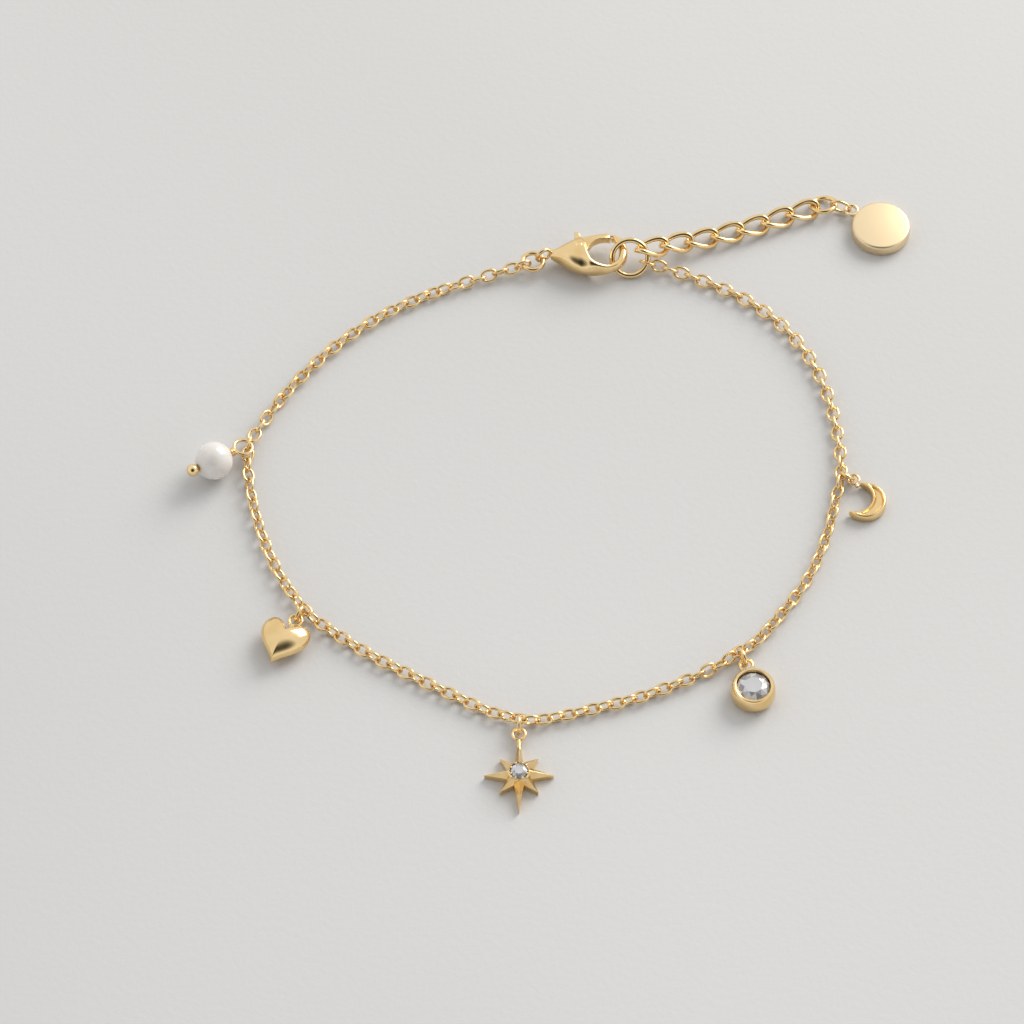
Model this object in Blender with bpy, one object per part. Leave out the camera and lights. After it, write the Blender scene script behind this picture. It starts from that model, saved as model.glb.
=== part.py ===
"""Charm bracelet: a fine cable chain with five charms, a lobster clasp and an extender.

Metres, +Z up. The bracelet lies closed on the surface z = 0. +X runs to the right and +Y to the
clasp's side. The origin is the middle of the footprint, on that surface.
"""
import math

import bmesh
import bpy
from mathutils import Matrix, Vector
from mathutils.geometry import tessellate_polygon

MM = 0.001
UP = Vector((0, 0, 1))

# Width of the closed loop as it lies. The route points below were read at ROUTE_WIDTH millimetres
# across, for links ROUTE_LINK_WIDTH wide, and follow both sizes.
LOOP_WIDTH = 57.3 * MM
ROUTE_WIDTH = 57.3
ROUTE_LINK_WIDTH = 1.28

# Main chain
LINK_LENGTH = 1.82 * MM
LINK_WIDTH = 1.36 * MM
LINK_WIRE = 0.30 * MM
CHAIN_GAP = 0.12 * MM
TUBE_STEP = 3.2 * MM

# Jump rings that carry the charms
JUMP_DIAMETER = 2.08 * MM
JUMP_WIRE = 0.38 * MM
MOON_JUMP_DIAMETER = 1.80 * MM
MOON_JUMP_TILT = math.radians(34)
CHARM_LOOP_DIAMETER = 1.52 * MM
CHARM_LOOP_WIRE = 0.32 * MM
STEM_DIAMETER = 0.42 * MM

# Pearl on its headpin
PEARL_DIAMETER = 3.70 * MM
PEARL_BORE = 0.62 * MM
PIN_DIAMETER = 0.44 * MM
PIN_BALL_DIAMETER = 1.22 * MM
PIN_EYE_DIAMETER = 2.10 * MM
PIN_EYE_WIRE = 0.34 * MM
PIN_WRAP_DIAMETER = 0.86 * MM
PEARL_CLEARANCE = 0.10 * MM
PIN_NECK = 0.45 * MM
PIN_HEADING = math.radians(216)
EYE_HOLD_ANGLE = math.radians(10)
PEARL_LINK_GAP = 0.05 * MM
PEARL_LINK_PITCH = LINK_LENGTH - 2 * LINK_WIRE - PEARL_LINK_GAP
PEARL_LINK_DROP = 0.12 * MM
PEARL_LINK_ROLL = math.radians(22)
PIN_EYE_LIFT = 0.20 * MM

# Heart
HEART_WIDTH = 4.75 * MM
HEART_HEIGHT = 4.75 * MM
HEART_THICKNESS = 2.40 * MM
HEART_LOOP_SIDE = 0.26 * MM
HEART_LOOP_REACH = 2.36 * MM
HEART_HEADING = math.radians(-22.8)

# Star and its stone
STAR_LONG_RAY = 3.80 * MM
STAR_SIDE_RAY = 3.25 * MM
STAR_SHORT_RAY = 2.56 * MM
STAR_VALLEY_RADIUS = 1.22 * MM
STAR_BOSS_RADIUS = 1.05 * MM
STAR_THICKNESS = 1.55 * MM
STAR_WALL_HEIGHT = 0.62 * MM
STAR_STONE_DIAMETER = 1.60 * MM
STAR_LOOP_REACH = 4.36 * MM

# Bezel drop and its stone
DROP_DIAMETER = 4.24 * MM
DROP_RIM_DIAMETER = 3.78 * MM
DROP_HEIGHT = 1.95 * MM
DROP_STONE_DIAMETER = 3.10 * MM
DROP_LOOP_REACH = 2.84 * MM
DROP_HEADING = math.radians(11.8)
STONE_CLEARANCE = 0.06 * MM

# Moon
MOON_OUTER_RADIUS = 2.07 * MM
MOON_INNER_RADIUS = 1.60 * MM
MOON_OFFSET = 1.16 * MM
MOON_OPENING_ANGLE = math.radians(137.4)
MOON_THICKNESS = 1.00 * MM
MOON_CROWN = 0.24 * MM
MOON_LOOP_DIAMETER = 1.34 * MM
MOON_LOOP_WIRE = 0.28 * MM
MOON_LOOP_REACH = 2.62 * MM
MOON_HEADING = math.radians(22.4)

# Lobster clasp
CLASP_LENGTH = 7.35 * MM
CLASP_WIDTH = 4.40 * MM
CLASP_THICKNESS = 2.50 * MM
CLASP_NOSE_THICKNESS = 1.05 * MM
CLASP_EYE_DIAMETER = 1.88 * MM
CLASP_EYE_WIRE = 0.38 * MM
CLASP_EYE_TURN = math.radians(30)
CLASP_PITCH = math.radians(-2.6)
CLASP_HEADING = math.radians(-1.0)
CLASP_RING_DIAMETER = 2.56 * MM
CLASP_RING_WIRE = 0.46 * MM
LEVER_THICKNESS = 0.90 * MM
LEVER_SIDE_GAP = 0.10 * MM
RIVET_DIAMETER = 0.56 * MM
RIVET_CLEARANCE = 0.05 * MM

# End ring and extender
END_RING_DIAMETER = 4.15 * MM
END_RING_WIRE = 0.54 * MM
END_RING_TILT = math.radians(41)
END_RING_OFFSET = (2.60 * MM, -0.38 * MM)
CURB_LENGTH = 3.83 * MM
CURB_WIDTH = 2.36 * MM
CURB_WIRE = 0.54 * MM
CURB_TWIST = math.radians(46)
CURB_COUNT = 7
CURB_GAP = 0.06 * MM
END_RING_GAP = 0.42 * MM
EXTENDER_RING_TILT = math.radians(20)
EXTENDER_RING_DIAMETER = 2.95 * MM
EXTENDER_RING_WIRE = 0.48 * MM
TAG_LINK_LENGTH = 2.30 * MM
TAG_LINK_WIDTH = 1.58 * MM
TAG_LINK_WIRE = 0.36 * MM
TAG_DIAMETER = 5.80 * MM
TAG_THICKNESS = 1.30 * MM
TAG_EDGE_RADIUS = 0.30 * MM
TAG_LOOP_DIAMETER = 1.60 * MM
TAG_LOOP_WIRE = 0.38 * MM
TAG_LOOP_REACH = 3.60 * MM
TAG_HEADING = math.radians(52)

# Mesh fineness
WIRE_SIDES = 6
RING_SEGMENTS = 20
OVAL_SEGMENTS = 16
OVAL_FULLNESS = 2.3

# Middle of the footprint in the millimetre layout that the route points below use
LAYOUT_CENTRE = (4.163, 2.088)

# Chain route in millimetres: (name of the stretch, its points), from the clasp ring's side round to
# the end ring's side. Each stretch starts at the link that the one before it ends at.
CHAIN_ROUTE = [
    ("chain_clasp_pearl", [(1.08, 28.48, 0.98), (-4.95, 26.51, 0.66), (-9.28, 24.69, 0.66),
                           (-13.39, 22.27, 0.66), (-17.03, 19.27, 0.66), (-19.91, 16.17, 0.66),
                           (-22.51, 12.68, 0.66), (-24.45, 9.40, 0.72)]),
    ("chain_pearl_heart", [(-25.40, 7.30, 0.80), (-25.53, 5.20, 0.66), (-25.23, 2.37, 0.66),
                           (-24.46, -1.19, 0.66), (-23.31, -4.83, 0.66), (-21.84, -8.11, 0.66)]),
    ("chain_heart_star", [(-19.65, -11.56, 0.80), (-17.69, -13.36, 0.66), (-13.19, -16.57, 0.66),
                          (-8.83, -19.10, 0.66), (-4.40, -21.51, 0.66), (-2.06, -22.70, 0.68)]),
    ("chain_star_drop", [(0.65, -23.57, 0.80), (2.71, -23.57, 0.66), (7.68, -22.38, 0.66),
                         (12.38, -20.96, 0.66), (16.92, -18.99, 0.66), (19.60, -17.50, 0.68)]),
    ("chain_drop_moon", [(21.40, -16.24, 0.80), (23.13, -14.91, 0.66), (26.18, -11.02, 0.66),
                         (28.48, -7.32, 0.66), (30.17, -2.90, 0.66), (31.10, 1.00, 0.66)]),
    ("chain_moon_ring", [(31.75, 4.05, 0.76), (31.53, 8.87, 0.66), (30.63, 13.68, 0.66),
                         (29.01, 17.84, 0.66), (26.19, 21.91, 0.66), (22.33, 25.05, 0.66),
                         (17.83, 27.30, 0.70), (15.60, 28.05, 0.90)]),
]
ROUTE_FINENESS = 24

# Extender route in millimetres, after the end ring
EXTENDER_ROUTE = [(16.39, 30.89, 1.32), (18.90, 31.75, 0.84), (23.92, 33.38, 0.70),
                  (28.87, 35.30, 0.70), (33.60, 36.90, 0.70)]


def lay(point):
    """Turn a layout point in millimetres into a place in metres about the footprint's middle."""
    unit = LOOP_WIDTH / ROUTE_WIDTH
    rise = LINK_WIDTH / ROUTE_LINK_WIDTH
    return Vector(((point[0] - LAYOUT_CENTRE[0]) * unit, (point[1] - LAYOUT_CENTRE[1]) * unit, point[2] * rise))


# Scene and materials

def clear_scene():
    for old in list(bpy.data.objects):
        bpy.data.objects.remove(old, do_unlink=True)


def make_material(name, colour, roughness, metallic, transmission=0.0):
    material = bpy.data.materials.new(name)
    material.use_nodes = True
    shader = material.node_tree.nodes["Principled BSDF"]
    shader.inputs["Base Color"].default_value = (*colour, 1.0)
    shader.inputs["Roughness"].default_value = roughness
    shader.inputs["Metallic"].default_value = metallic
    shader.inputs["Transmission Weight"].default_value = transmission
    material.diffuse_color = (*colour, 1.0)
    return material


def make_materials():
    return {
        "gold": make_material("gold", (0.83, 0.62, 0.33), 0.16, 1.0),
        "satin_gold": make_material("satin_gold", (0.86, 0.68, 0.42), 0.38, 1.0),
        "pearl": make_material("pearl", (0.90, 0.86, 0.80), 0.22, 0.0),
        "stone": make_material("stone", (0.97, 0.97, 0.98), 0.02, 0.0, 0.9),
    }


def link_in(name, data, material, matrix=None):
    """Add an object for the data, dressed and placed."""
    piece = bpy.data.objects.new(name, data)
    bpy.context.scene.collection.objects.link(piece)
    if not data.materials:
        data.materials.append(material)
    if matrix is not None:
        piece.matrix_world = matrix
    return piece


def finish_mesh(name, work, smooth_angle=math.radians(40)):
    """Close a bmesh into a mesh with its faces pointing out and its round parts smooth."""
    bmesh.ops.recalc_face_normals(work, faces=work.faces)
    mesh = bpy.data.meshes.new(name)
    work.to_mesh(mesh)
    work.free()
    mesh.shade_smooth()
    mesh.set_sharp_from_angle(angle=smooth_angle)
    return mesh


def as_tool(piece):
    piece.hide_render = True
    piece.display_type = "WIRE"
    return piece


def join_by(body, tool, operation):
    """Solder the tool to the body, or cut it out, with an exact Boolean."""
    modifier = body.modifiers.new(tool.name, "BOOLEAN")
    modifier.object = as_tool(tool)
    modifier.operation = operation
    modifier.solver = "EXACT"


def frame_at(place, long_axis, normal):
    """Matrix whose X runs along long_axis and whose Z is the part of normal across it."""
    x = long_axis.normalized()
    z = (normal - normal.dot(x) * x).normalized()
    y = z.cross(x)
    return Matrix.Translation(place) @ Matrix((x, y, z)).transposed().to_4x4()


# Wires, rings and links

def ring_path(radius, count=RING_SEGMENTS):
    turns = [2 * math.pi * i / count for i in range(count)]
    return [Vector((radius * math.cos(a), radius * math.sin(a), 0)) for a in turns]


def oval_path(length, width, count=OVAL_SEGMENTS):
    """Centre line of an oval link along X: an ellipse with its sides filled out a little."""
    points = []
    for i in range(count):
        a = 2 * math.pi * (i + 0.5) / count
        x, y = (math.copysign(abs(share) ** (2 / OVAL_FULLNESS), share) for share in (math.cos(a), math.sin(a)))
        points.append(Vector((length / 2 * x, width / 2 * y, 0)))
    return points


def twisted(points, half_length, twist):
    """Turn each point about X by a share of the twist, from one end of the link to the other."""
    return [Matrix.Rotation(twist * p.x / half_length, 3, "X") @ p for p in points]


def wire_data(name, points, diameter, closed=True, resolution=1):
    """A round wire as a bevelled poly curve. Resolution 1 gives 6 sides, 2 gives 8."""
    data = bpy.data.curves.new(name, "CURVE")
    data.dimensions = "3D"
    data.bevel_depth = diameter / 2
    data.bevel_resolution = resolution
    data.resolution_u = 1
    data.use_fill_caps = not closed
    spline = data.splines.new("POLY")
    spline.points.add(len(points) - 1)
    for target, point in zip(spline.points, points):
        target.co = (*point, 1.0)
    spline.use_cyclic_u = closed
    return data


def torus_mesh(name, outer_diameter, wire, segments=RING_SEGMENTS, sides=WIRE_SIDES):
    """A plain ring about Z, spun from a round section."""
    work = bmesh.new()
    radius = (outer_diameter - wire) / 2
    section = bmesh.ops.create_circle(work, segments=sides, radius=wire / 2)["verts"]
    bmesh.ops.rotate(work, verts=section, cent=(0, 0, 0), matrix=Matrix.Rotation(math.pi / 2, 3, "X"))
    bmesh.ops.translate(work, verts=section, vec=(radius, 0, 0))
    edges = list({edge for vert in section for edge in vert.link_edges})
    bmesh.ops.spin(work, geom=section + edges, cent=(0, 0, 0), axis=(0, 0, 1),
                   angle=2 * math.pi, steps=segments, use_merge=True, use_duplicate=False)
    bmesh.ops.remove_doubles(work, verts=work.verts, dist=wire / 100)
    return finish_mesh(name, work)


def rod_mesh(name, start, end, diameter, sides=10):
    work = bmesh.new()
    length = (end - start).length
    bmesh.ops.create_cone(work, cap_ends=True, segments=sides, radius1=diameter / 2,
                          radius2=diameter / 2, depth=length)
    turn = (end - start).to_track_quat("Z", "Y").to_matrix().to_4x4()
    bmesh.ops.transform(work, verts=work.verts, matrix=Matrix.Translation((start + end) / 2) @ turn)
    return finish_mesh(name, work)


def turned_mesh(name, profile, segments=28):
    """Turn a profile of (radius, height) points about Z; it starts and ends on the axis."""
    work = bmesh.new()
    verts = [work.verts.new((r, 0, z)) for r, z in profile]
    edges = [work.edges.new(pair) for pair in zip(verts, verts[1:])]
    bmesh.ops.spin(work, geom=verts + edges, cent=(0, 0, 0), axis=(0, 0, 1),
                   angle=2 * math.pi, steps=segments, use_merge=True, use_duplicate=False)
    bmesh.ops.remove_doubles(work, verts=work.verts, dist=0.002 * MM)
    bmesh.ops.dissolve_degenerate(work, dist=0.001 * MM, edges=work.edges)
    return finish_mesh(name, work)


def skin(work, layers):
    """Add equal rings of points to the bmesh and join each to the next with quads."""
    rings = [[work.verts.new(point) for point in layer] for layer in layers]
    count = len(rings[0])
    for low, high in zip(rings, rings[1:]):
        for i in range(count):
            j = (i + 1) % count
            work.faces.new((low[i], low[j], high[j], high[i]))
    return rings


def layered_mesh(name, layers, smooth_angle=math.radians(40)):
    """Skin rings from the lowest to the highest; the level end caps may have hollows in plan."""
    work = bmesh.new()
    rings = skin(work, layers)
    for ring in (rings[0], rings[-1]):
        plan = [Vector((vert.co.x, vert.co.y, 0)) for vert in ring]
        for corners in tessellate_polygon([plan]):
            work.faces.new([ring[i] for i in corners])
    return finish_mesh(name, work, smooth_angle)


def lofted_mesh(name, sections, smooth_angle=math.radians(40)):
    """Skin sections that stand across a path, with a plain convex cap at each end."""
    work = bmesh.new()
    rings = skin(work, sections)
    work.faces.new(rings[0])
    work.faces.new(rings[-1])
    return finish_mesh(name, work, smooth_angle)


# Route of the main chain

def catmull_rom(points, fineness):
    """Dense points on a smooth curve through the given points; each given point starts a span."""
    ends = [points[0] * 2 - points[1]] + points + [points[-1] * 2 - points[-2]]
    dense = []
    for p0, p1, p2, p3 in zip(ends, ends[1:], ends[2:], ends[3:]):
        for i in range(fineness):
            t = i / fineness
            dense.append(0.5 * (2 * p1 + (p2 - p0) * t + (2 * p0 - 5 * p1 + 4 * p2 - p3) * t ** 2
                                + (3 * p1 - p0 - 3 * p2 + p3) * t ** 3))
    dense.append(points[-1].copy())
    return dense


def length_of(points):
    return sum((b - a).length for a, b in zip(points, points[1:]))


def point_along(points, distance):
    """The point at a distance along a line of points, and the direction there."""
    for a, b in zip(points, points[1:]):
        step = (b - a).length
        if distance <= step:
            return a.lerp(b, max(distance, 0) / step), (b - a).normalized()
        distance -= step
    return points[-1].copy(), (points[-1] - points[-2]).normalized()


def chain_stretches(end_point):
    """Dense points of each stretch, from link centre to link centre."""
    chosen = [lay(point) for _, points in CHAIN_ROUTE for point in points] + [end_point]
    dense = catmull_rom(chosen, ROUTE_FINENESS)
    stretches = []
    first = 0
    for name, points in CHAIN_ROUTE:
        last = first + len(points) * ROUTE_FINENESS
        stretches.append((name, dense[first:last + 1]))
        first = last
    return stretches


def build_chain(stretches, gold):
    """A tube stands for the fine links of each stretch, clear of the real links at its ends."""
    for name, dense in stretches:
        trim = LINK_LENGTH / 2 + CHAIN_GAP
        start = trim + (PEARL_LINK_PITCH if name == "chain_pearl_heart" else 0)
        run = length_of(dense) - start - trim
        steps = math.ceil(run / TUBE_STEP)
        points = [point_along(dense, start + run * i / steps)[0] for i in range(steps + 1)]
        data = wire_data(name, points, LINK_WIDTH, closed=False, resolution=2)
        link_in(name, data, gold)


def chain_link(name, place, tangent, wire_direction, gold):
    """A real cable link, turned so that the wire it holds passes squarely through it."""
    path = oval_path(LINK_LENGTH - LINK_WIRE, LINK_WIDTH - LINK_WIRE)
    data = wire_data(name, path, LINK_WIRE)
    link_in(name, data, gold, frame_at(place, tangent, wire_direction))


# Charms on their jump rings

def hang(name, place, out_angle, loop_height, gold, diameter=JUMP_DIAMETER, tilt=0.0):
    """Add the jump ring through a chain link at place; give the charm loop's place and the wire's run."""
    out = Vector((math.cos(out_angle), math.sin(out_angle), 0))
    rise = UP * math.cos(tilt) + out.cross(UP) * math.sin(tilt)
    radius = (diameter - JUMP_WIRE) / 2
    height = radius * math.cos(tilt) + JUMP_WIRE / 2
    at_link = (place.z - height) / math.cos(tilt)
    at_loop = (loop_height - height) / math.cos(tilt)
    centre = place + out * math.sqrt(radius ** 2 - at_link ** 2) - rise * at_link
    loop = centre + out * math.sqrt(radius ** 2 - at_loop ** 2) + rise * at_loop
    normal = out.cross(rise)
    link_in(name, torus_mesh(name, diameter, JUMP_WIRE), gold, frame_at(centre, out, normal))
    return loop, normal.cross(centre - place)


def place_charm(piece, loop_local, loop, heading):
    """Put a charm down flat so that its loop's local place meets the loop's place."""
    turn = Matrix.Rotation(heading, 4, "Z")
    spot = loop - turn @ loop_local
    piece.matrix_world = Matrix.Translation((spot.x, spot.y, 0)) @ turn


def solder_loop(charm, name, centre, foot, gold, diameter=CHARM_LOOP_DIAMETER, wire=CHARM_LOOP_WIRE):
    """Fuse a flat-lying loop to a charm, with a short stem from the loop's wire to a foot in it."""
    loop = link_in(name + "_loop", torus_mesh(name + "_loop", diameter, wire, 16), gold)
    loop.parent = charm
    loop.location = centre
    start = centre + (foot - centre).normalized() * (diameter - wire) / 2
    stem = link_in(name + "_stem", rod_mesh(name + "_stem", start, foot, STEM_DIAMETER), gold)
    stem.parent = charm
    join_by(charm, stem, "UNION")
    join_by(charm, loop, "UNION")


def heart_outline(share, count):
    """One ring of the heart's skin: the full outline at share 1, rounder towards the middle."""
    points = []
    for i in range(count):
        t = 2 * math.pi * (i + 0.5) / count
        x = math.sin(t) ** 3
        y = (13 * math.cos(t) - 5 * math.cos(2 * t) - 2 * math.cos(3 * t) - math.cos(4 * t)) / 29
        plain = Vector((x * HEART_WIDTH / 2, y * HEART_HEIGHT, 0))
        disc = Vector((0.42 * HEART_WIDTH * math.sin(t), 0.42 * HEART_HEIGHT * math.cos(t), 0))
        points.append(plain.lerp(disc, 0.75 * (1 - share)) * share)
    return points


def build_heart(loop_height, gold):
    rings = []
    turns = [math.radians(a) for a in (-80, -60, -38, -15, 15, 38, 60, 80)]
    for turn in turns:
        outline = heart_outline(math.cos(turn), 28)
        height = HEART_THICKNESS / 2 * (1 + math.sin(turn))
        rings.append([point + UP * height for point in outline])
    floor = (1 - math.sin(turns[-1])) * HEART_THICKNESS / 2
    rings = [[point - UP * floor for point in ring] for ring in rings]
    heart = link_in("heart_charm", layered_mesh("heart_charm", rings), gold)
    centre = Vector((HEART_LOOP_SIDE, HEART_LOOP_REACH, loop_height))
    solder_loop(heart, "heart", centre, Vector((HEART_LOOP_SIDE * 0.4, 0.5 * MM, loop_height)), gold)
    return heart, centre


def ray_length(index):
    """Length of each of the eight rays, counted from the one that points at the loop."""
    if index % 2:
        return STAR_SHORT_RAY
    return STAR_SIDE_RAY if index % 4 else STAR_LONG_RAY


def build_star(loop_height, gold):
    """Eight ridged rays round a boss with a seat for the stone."""
    work = bmesh.new()
    seat_radius = STAR_STONE_DIAMETER / 2 + STONE_CLEARANCE
    seat_depth = 0.32 * STAR_STONE_DIAMETER
    pit_radius = 0.45 * seat_radius
    pit_depth = 0.62 * STAR_STONE_DIAMETER

    def circle(radius, heights):
        verts = []
        for i in range(16):
            a = math.pi / 2 + i * math.pi / 8
            verts.append(work.verts.new((radius * math.cos(a), radius * math.sin(a), heights[i % 2])))
        return verts

    crest = STAR_THICKNESS - 0.06 * MM
    boss = circle(STAR_BOSS_RADIUS, (crest, crest - 0.12 * MM))
    rim = circle(seat_radius + 0.05 * MM, (STAR_THICKNESS,) * 2)
    seat = circle(seat_radius, (STAR_THICKNESS - 0.30 * seat_depth,) * 2)
    shelf = circle(seat_radius, (STAR_THICKNESS - seat_depth,) * 2)
    pit = circle(pit_radius, (STAR_THICKNESS - pit_depth,) * 2)

    def star_ring(tip_height, valley_height):
        verts = []
        for i in range(16):
            a = math.pi / 2 + i * math.pi / 8
            radius = STAR_VALLEY_RADIUS if i % 2 else ray_length(i // 2)
            height = valley_height if i % 2 else tip_height
            verts.append(work.verts.new((radius * math.cos(a), radius * math.sin(a), height)))
        return verts

    skirt = star_ring(STAR_WALL_HEIGHT, STAR_WALL_HEIGHT + 0.08 * MM)
    base = star_ring(0, 0)
    bottom = work.verts.new((0, 0, 0))
    for i in range(16):
        j = (i + 1) % 16
        for low, high in ((base, skirt), (skirt, boss), (boss, rim), (rim, seat), (seat, shelf), (shelf, pit)):
            work.faces.new((low[i], low[j], high[j], high[i]))
        work.faces.new((base[i], base[j], bottom))
    work.faces.new(pit)
    star = link_in("star_charm", finish_mesh("star_charm", work, math.radians(20)), gold)
    centre = Vector((0, STAR_LOOP_REACH, loop_height))
    solder_loop(star, "star", centre, Vector((0, 0.7 * STAR_LONG_RAY, loop_height - 0.1 * MM)), gold)
    return star, centre


def brilliant_mesh(name, diameter):
    """A round brilliant: table, star, kite and girdle facets above, a faceted point below."""
    work = bmesh.new()
    radius = diameter / 2

    def tier(share, height, count, shift):
        turns = [2 * math.pi * (i + shift) / count for i in range(count)]
        return [work.verts.new((share * radius * math.cos(a), share * radius * math.sin(a),
                                height * radius)) for a in turns]

    table = tier(0.56, 0.30, 8, 0.0)
    crown = tier(0.79, 0.19, 8, 0.5)
    upper = tier(1.0, 0.035, 16, 0.0)
    lower = tier(1.0, -0.035, 16, 0.0)
    middle = tier(0.46, -0.52, 8, 0.0)
    culet = work.verts.new((0, 0, -0.80 * radius))
    work.faces.new(table)
    for i in range(8):
        j = (i + 1) % 8
        k = (2 * i + 1) % 16
        work.faces.new((table[i], table[j], crown[i]))
        work.faces.new((table[j], crown[i], upper[(k + 1) % 16], crown[j]))
        work.faces.new((crown[i], upper[k], upper[(k + 1) % 16]))
        work.faces.new((crown[i], upper[k - 1], upper[k]))
        work.faces.new((middle[i], lower[k - 1], lower[k]))
        work.faces.new((middle[j], lower[k], lower[(k + 1) % 16]))
        work.faces.new((middle[i], lower[k], middle[j], culet))
    for i in range(16):
        j = (i + 1) % 16
        work.faces.new((upper[i], upper[j], lower[j], lower[i]))
    return finish_mesh(name, work, math.radians(1))


def build_drop(loop_height, gold):
    """A rounded bezel wall, turned, with a seat and a deep pit for the stone."""
    outer = DROP_DIAMETER / 2
    rim = DROP_RIM_DIAMETER / 2
    inner = DROP_STONE_DIAMETER / 2 + STONE_CLEARANCE
    top = DROP_HEIGHT
    profile = [(0, 0), (0.66 * outer, 0), (0.88 * outer, 0.10 * top), (0.98 * outer, 0.27 * top),
               (outer, 0.46 * top), (0.985 * outer, 0.68 * top), (0.5 * (outer + rim), 0.86 * top),
               (rim, 0.965 * top), (rim - 0.07 * MM, top), (inner + 0.07 * MM, top),
               (inner, 0.96 * top), (inner, 0.66 * top), (0.52 * inner, 0.28 * top), (0, 0.12 * top)]
    drop = link_in("drop_bezel", turned_mesh("drop_bezel", profile), gold)
    centre = Vector((0, DROP_LOOP_REACH, loop_height))
    solder_loop(drop, "drop", centre, Vector((0, 0.9 * outer, loop_height)), gold)
    return drop, centre


def set_stone(name, diameter, charm, seat_height, stone):
    """Seat a stone in its charm with its girdle at a height above the charm's base."""
    gem = link_in(name, brilliant_mesh(name, diameter), stone)
    gem.matrix_world = charm.matrix_world @ Matrix.Translation((0, 0, seat_height))
    return gem


def crescent_outline(grow, count):
    """Outline of the moon: outer arc from horn to horn, then the inner arc back."""
    outer = MOON_OUTER_RADIUS + grow
    inner = MOON_INNER_RADIUS - grow
    half = (outer ** 2 - inner ** 2 + MOON_OFFSET ** 2) / (2 * MOON_OFFSET)
    outer_gap = math.acos(half / outer)
    inner_gap = math.acos((half - MOON_OFFSET) / inner)
    points = []
    blunt = math.radians(7)
    for i in range(count):
        a = outer_gap + blunt + (2 * math.pi - 2 * outer_gap - 2 * blunt) * i / (count - 1)
        points.append(Vector((outer * math.cos(a), outer * math.sin(a), 0)))
    for i in range(count):
        a = -inner_gap - blunt - (2 * math.pi - 2 * inner_gap - 2 * blunt) * i / (count - 1)
        points.append(Vector((MOON_OFFSET + inner * math.cos(a), inner * math.sin(a), 0)))
    turn = Matrix.Rotation(MOON_OPENING_ANGLE, 3, "Z")
    return [turn @ point for point in points]


def build_moon(loop_height, gold):
    """A polished crescent with rounded edges and a gently crowned face."""
    body = MOON_THICKNESS - MOON_CROWN
    levels = [(-0.20, 0.0), (-0.04, 0.12), (0.0, 0.35), (0.0, 0.70), (-0.10, 0.93), (-0.22, 1.0)]
    layers = []
    for grow, share in levels:
        outline = crescent_outline(grow * MM, 18)
        layers.append([point + UP * share * (body + MOON_CROWN) for point in outline])
    moon = link_in("moon_charm", layered_mesh("moon_charm", layers), gold)
    centre = Vector((0, MOON_LOOP_REACH, loop_height))
    horn = crescent_outline(-0.1 * MM, 18)[-1]
    foot = Vector((horn.x, horn.y, loop_height - 0.1 * MM)) * 1.0
    solder_loop(moon, "moon", centre, foot, gold, MOON_LOOP_DIAMETER, MOON_LOOP_WIRE)
    return moon, centre


def build_pearl(place, gold, pearl):
    """A drilled pearl on a ball-ended pin whose eye holds the chain link at place."""
    eye_radius = (PIN_EYE_DIAMETER - PIN_EYE_WIRE) / 2
    radius = PEARL_DIAMETER / 2
    reach = radius + PEARL_CLEARANCE + PIN_NECK + PIN_EYE_DIAMETER / 2
    run = reach + eye_radius * math.cos(EYE_HOLD_ANGLE)
    drop = math.asin((radius + 0.01 * MM - place.z) / run)
    axis = Vector((-math.cos(PIN_HEADING) * math.cos(drop), -math.sin(PIN_HEADING) * math.cos(drop),
                   -math.sin(drop)))
    side = UP.cross(axis).normalized()
    hold = axis * math.cos(EYE_HOLD_ANGLE) + side * math.sin(EYE_HOLD_ANGLE)
    eye = place - hold * eye_radius
    centre = eye - axis * reach
    matrix = frame_at(centre, axis, UP)

    work = bmesh.new()
    bmesh.ops.create_uvsphere(work, u_segments=20, v_segments=14, radius=radius)
    bead = link_in("pearl_bead", finish_mesh("pearl_bead", work), pearl, matrix)
    far = Vector((radius * 1.2, 0, 0))
    bore = link_in("pearl_bore", rod_mesh("pearl_bore", -far, far, PEARL_BORE), pearl, matrix)
    join_by(bead, bore, "DIFFERENCE")

    ball_at = -(radius + PEARL_CLEARANCE + PIN_BALL_DIAMETER / 2 - 0.12 * MM)
    wrap_from = radius + PEARL_CLEARANCE
    pin_data = rod_mesh("pearl_headpin", Vector((ball_at, 0, 0)),
                        Vector((reach - eye_radius, 0, 0)), PIN_DIAMETER)
    pin = link_in("pearl_headpin", pin_data, gold, matrix)
    work = bmesh.new()
    bmesh.ops.create_uvsphere(work, u_segments=12, v_segments=8, radius=PIN_BALL_DIAMETER / 2)
    ball = link_in("pin_ball", finish_mesh("pin_ball", work), gold,
                   matrix @ Matrix.Translation((ball_at, 0, 0)))
    wrap_mesh = rod_mesh("pin_wrap", Vector((wrap_from, 0, 0)), Vector((wrap_from + PIN_NECK, 0, 0)),
                         PIN_WRAP_DIAMETER, 12)
    wrap = link_in("pin_wrap", wrap_mesh, gold, matrix)
    eye_mesh = torus_mesh("pin_eye", PIN_EYE_DIAMETER, PIN_EYE_WIRE)
    eye_piece = link_in("pin_eye", eye_mesh, gold, matrix @ Matrix.Translation((reach, 0, 0)))
    for tool in (ball, wrap, eye_piece):
        join_by(pin, tool, "UNION")
    return side * math.cos(EYE_HOLD_ANGLE) - axis * math.sin(EYE_HOLD_ANGLE)


# Lobster clasp. Local frame: X from the eye to the nose, Y to the lever's side, origin in the middle
# of the claw's hole. Outline points are shares of the claw's half length and half width.

CLAW_HALF_LENGTH = 0.325 * CLASP_LENGTH
CLAW_HALF_WIDTH = 0.5 * CLASP_WIDTH
CLAW_SIDES = 12

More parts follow.
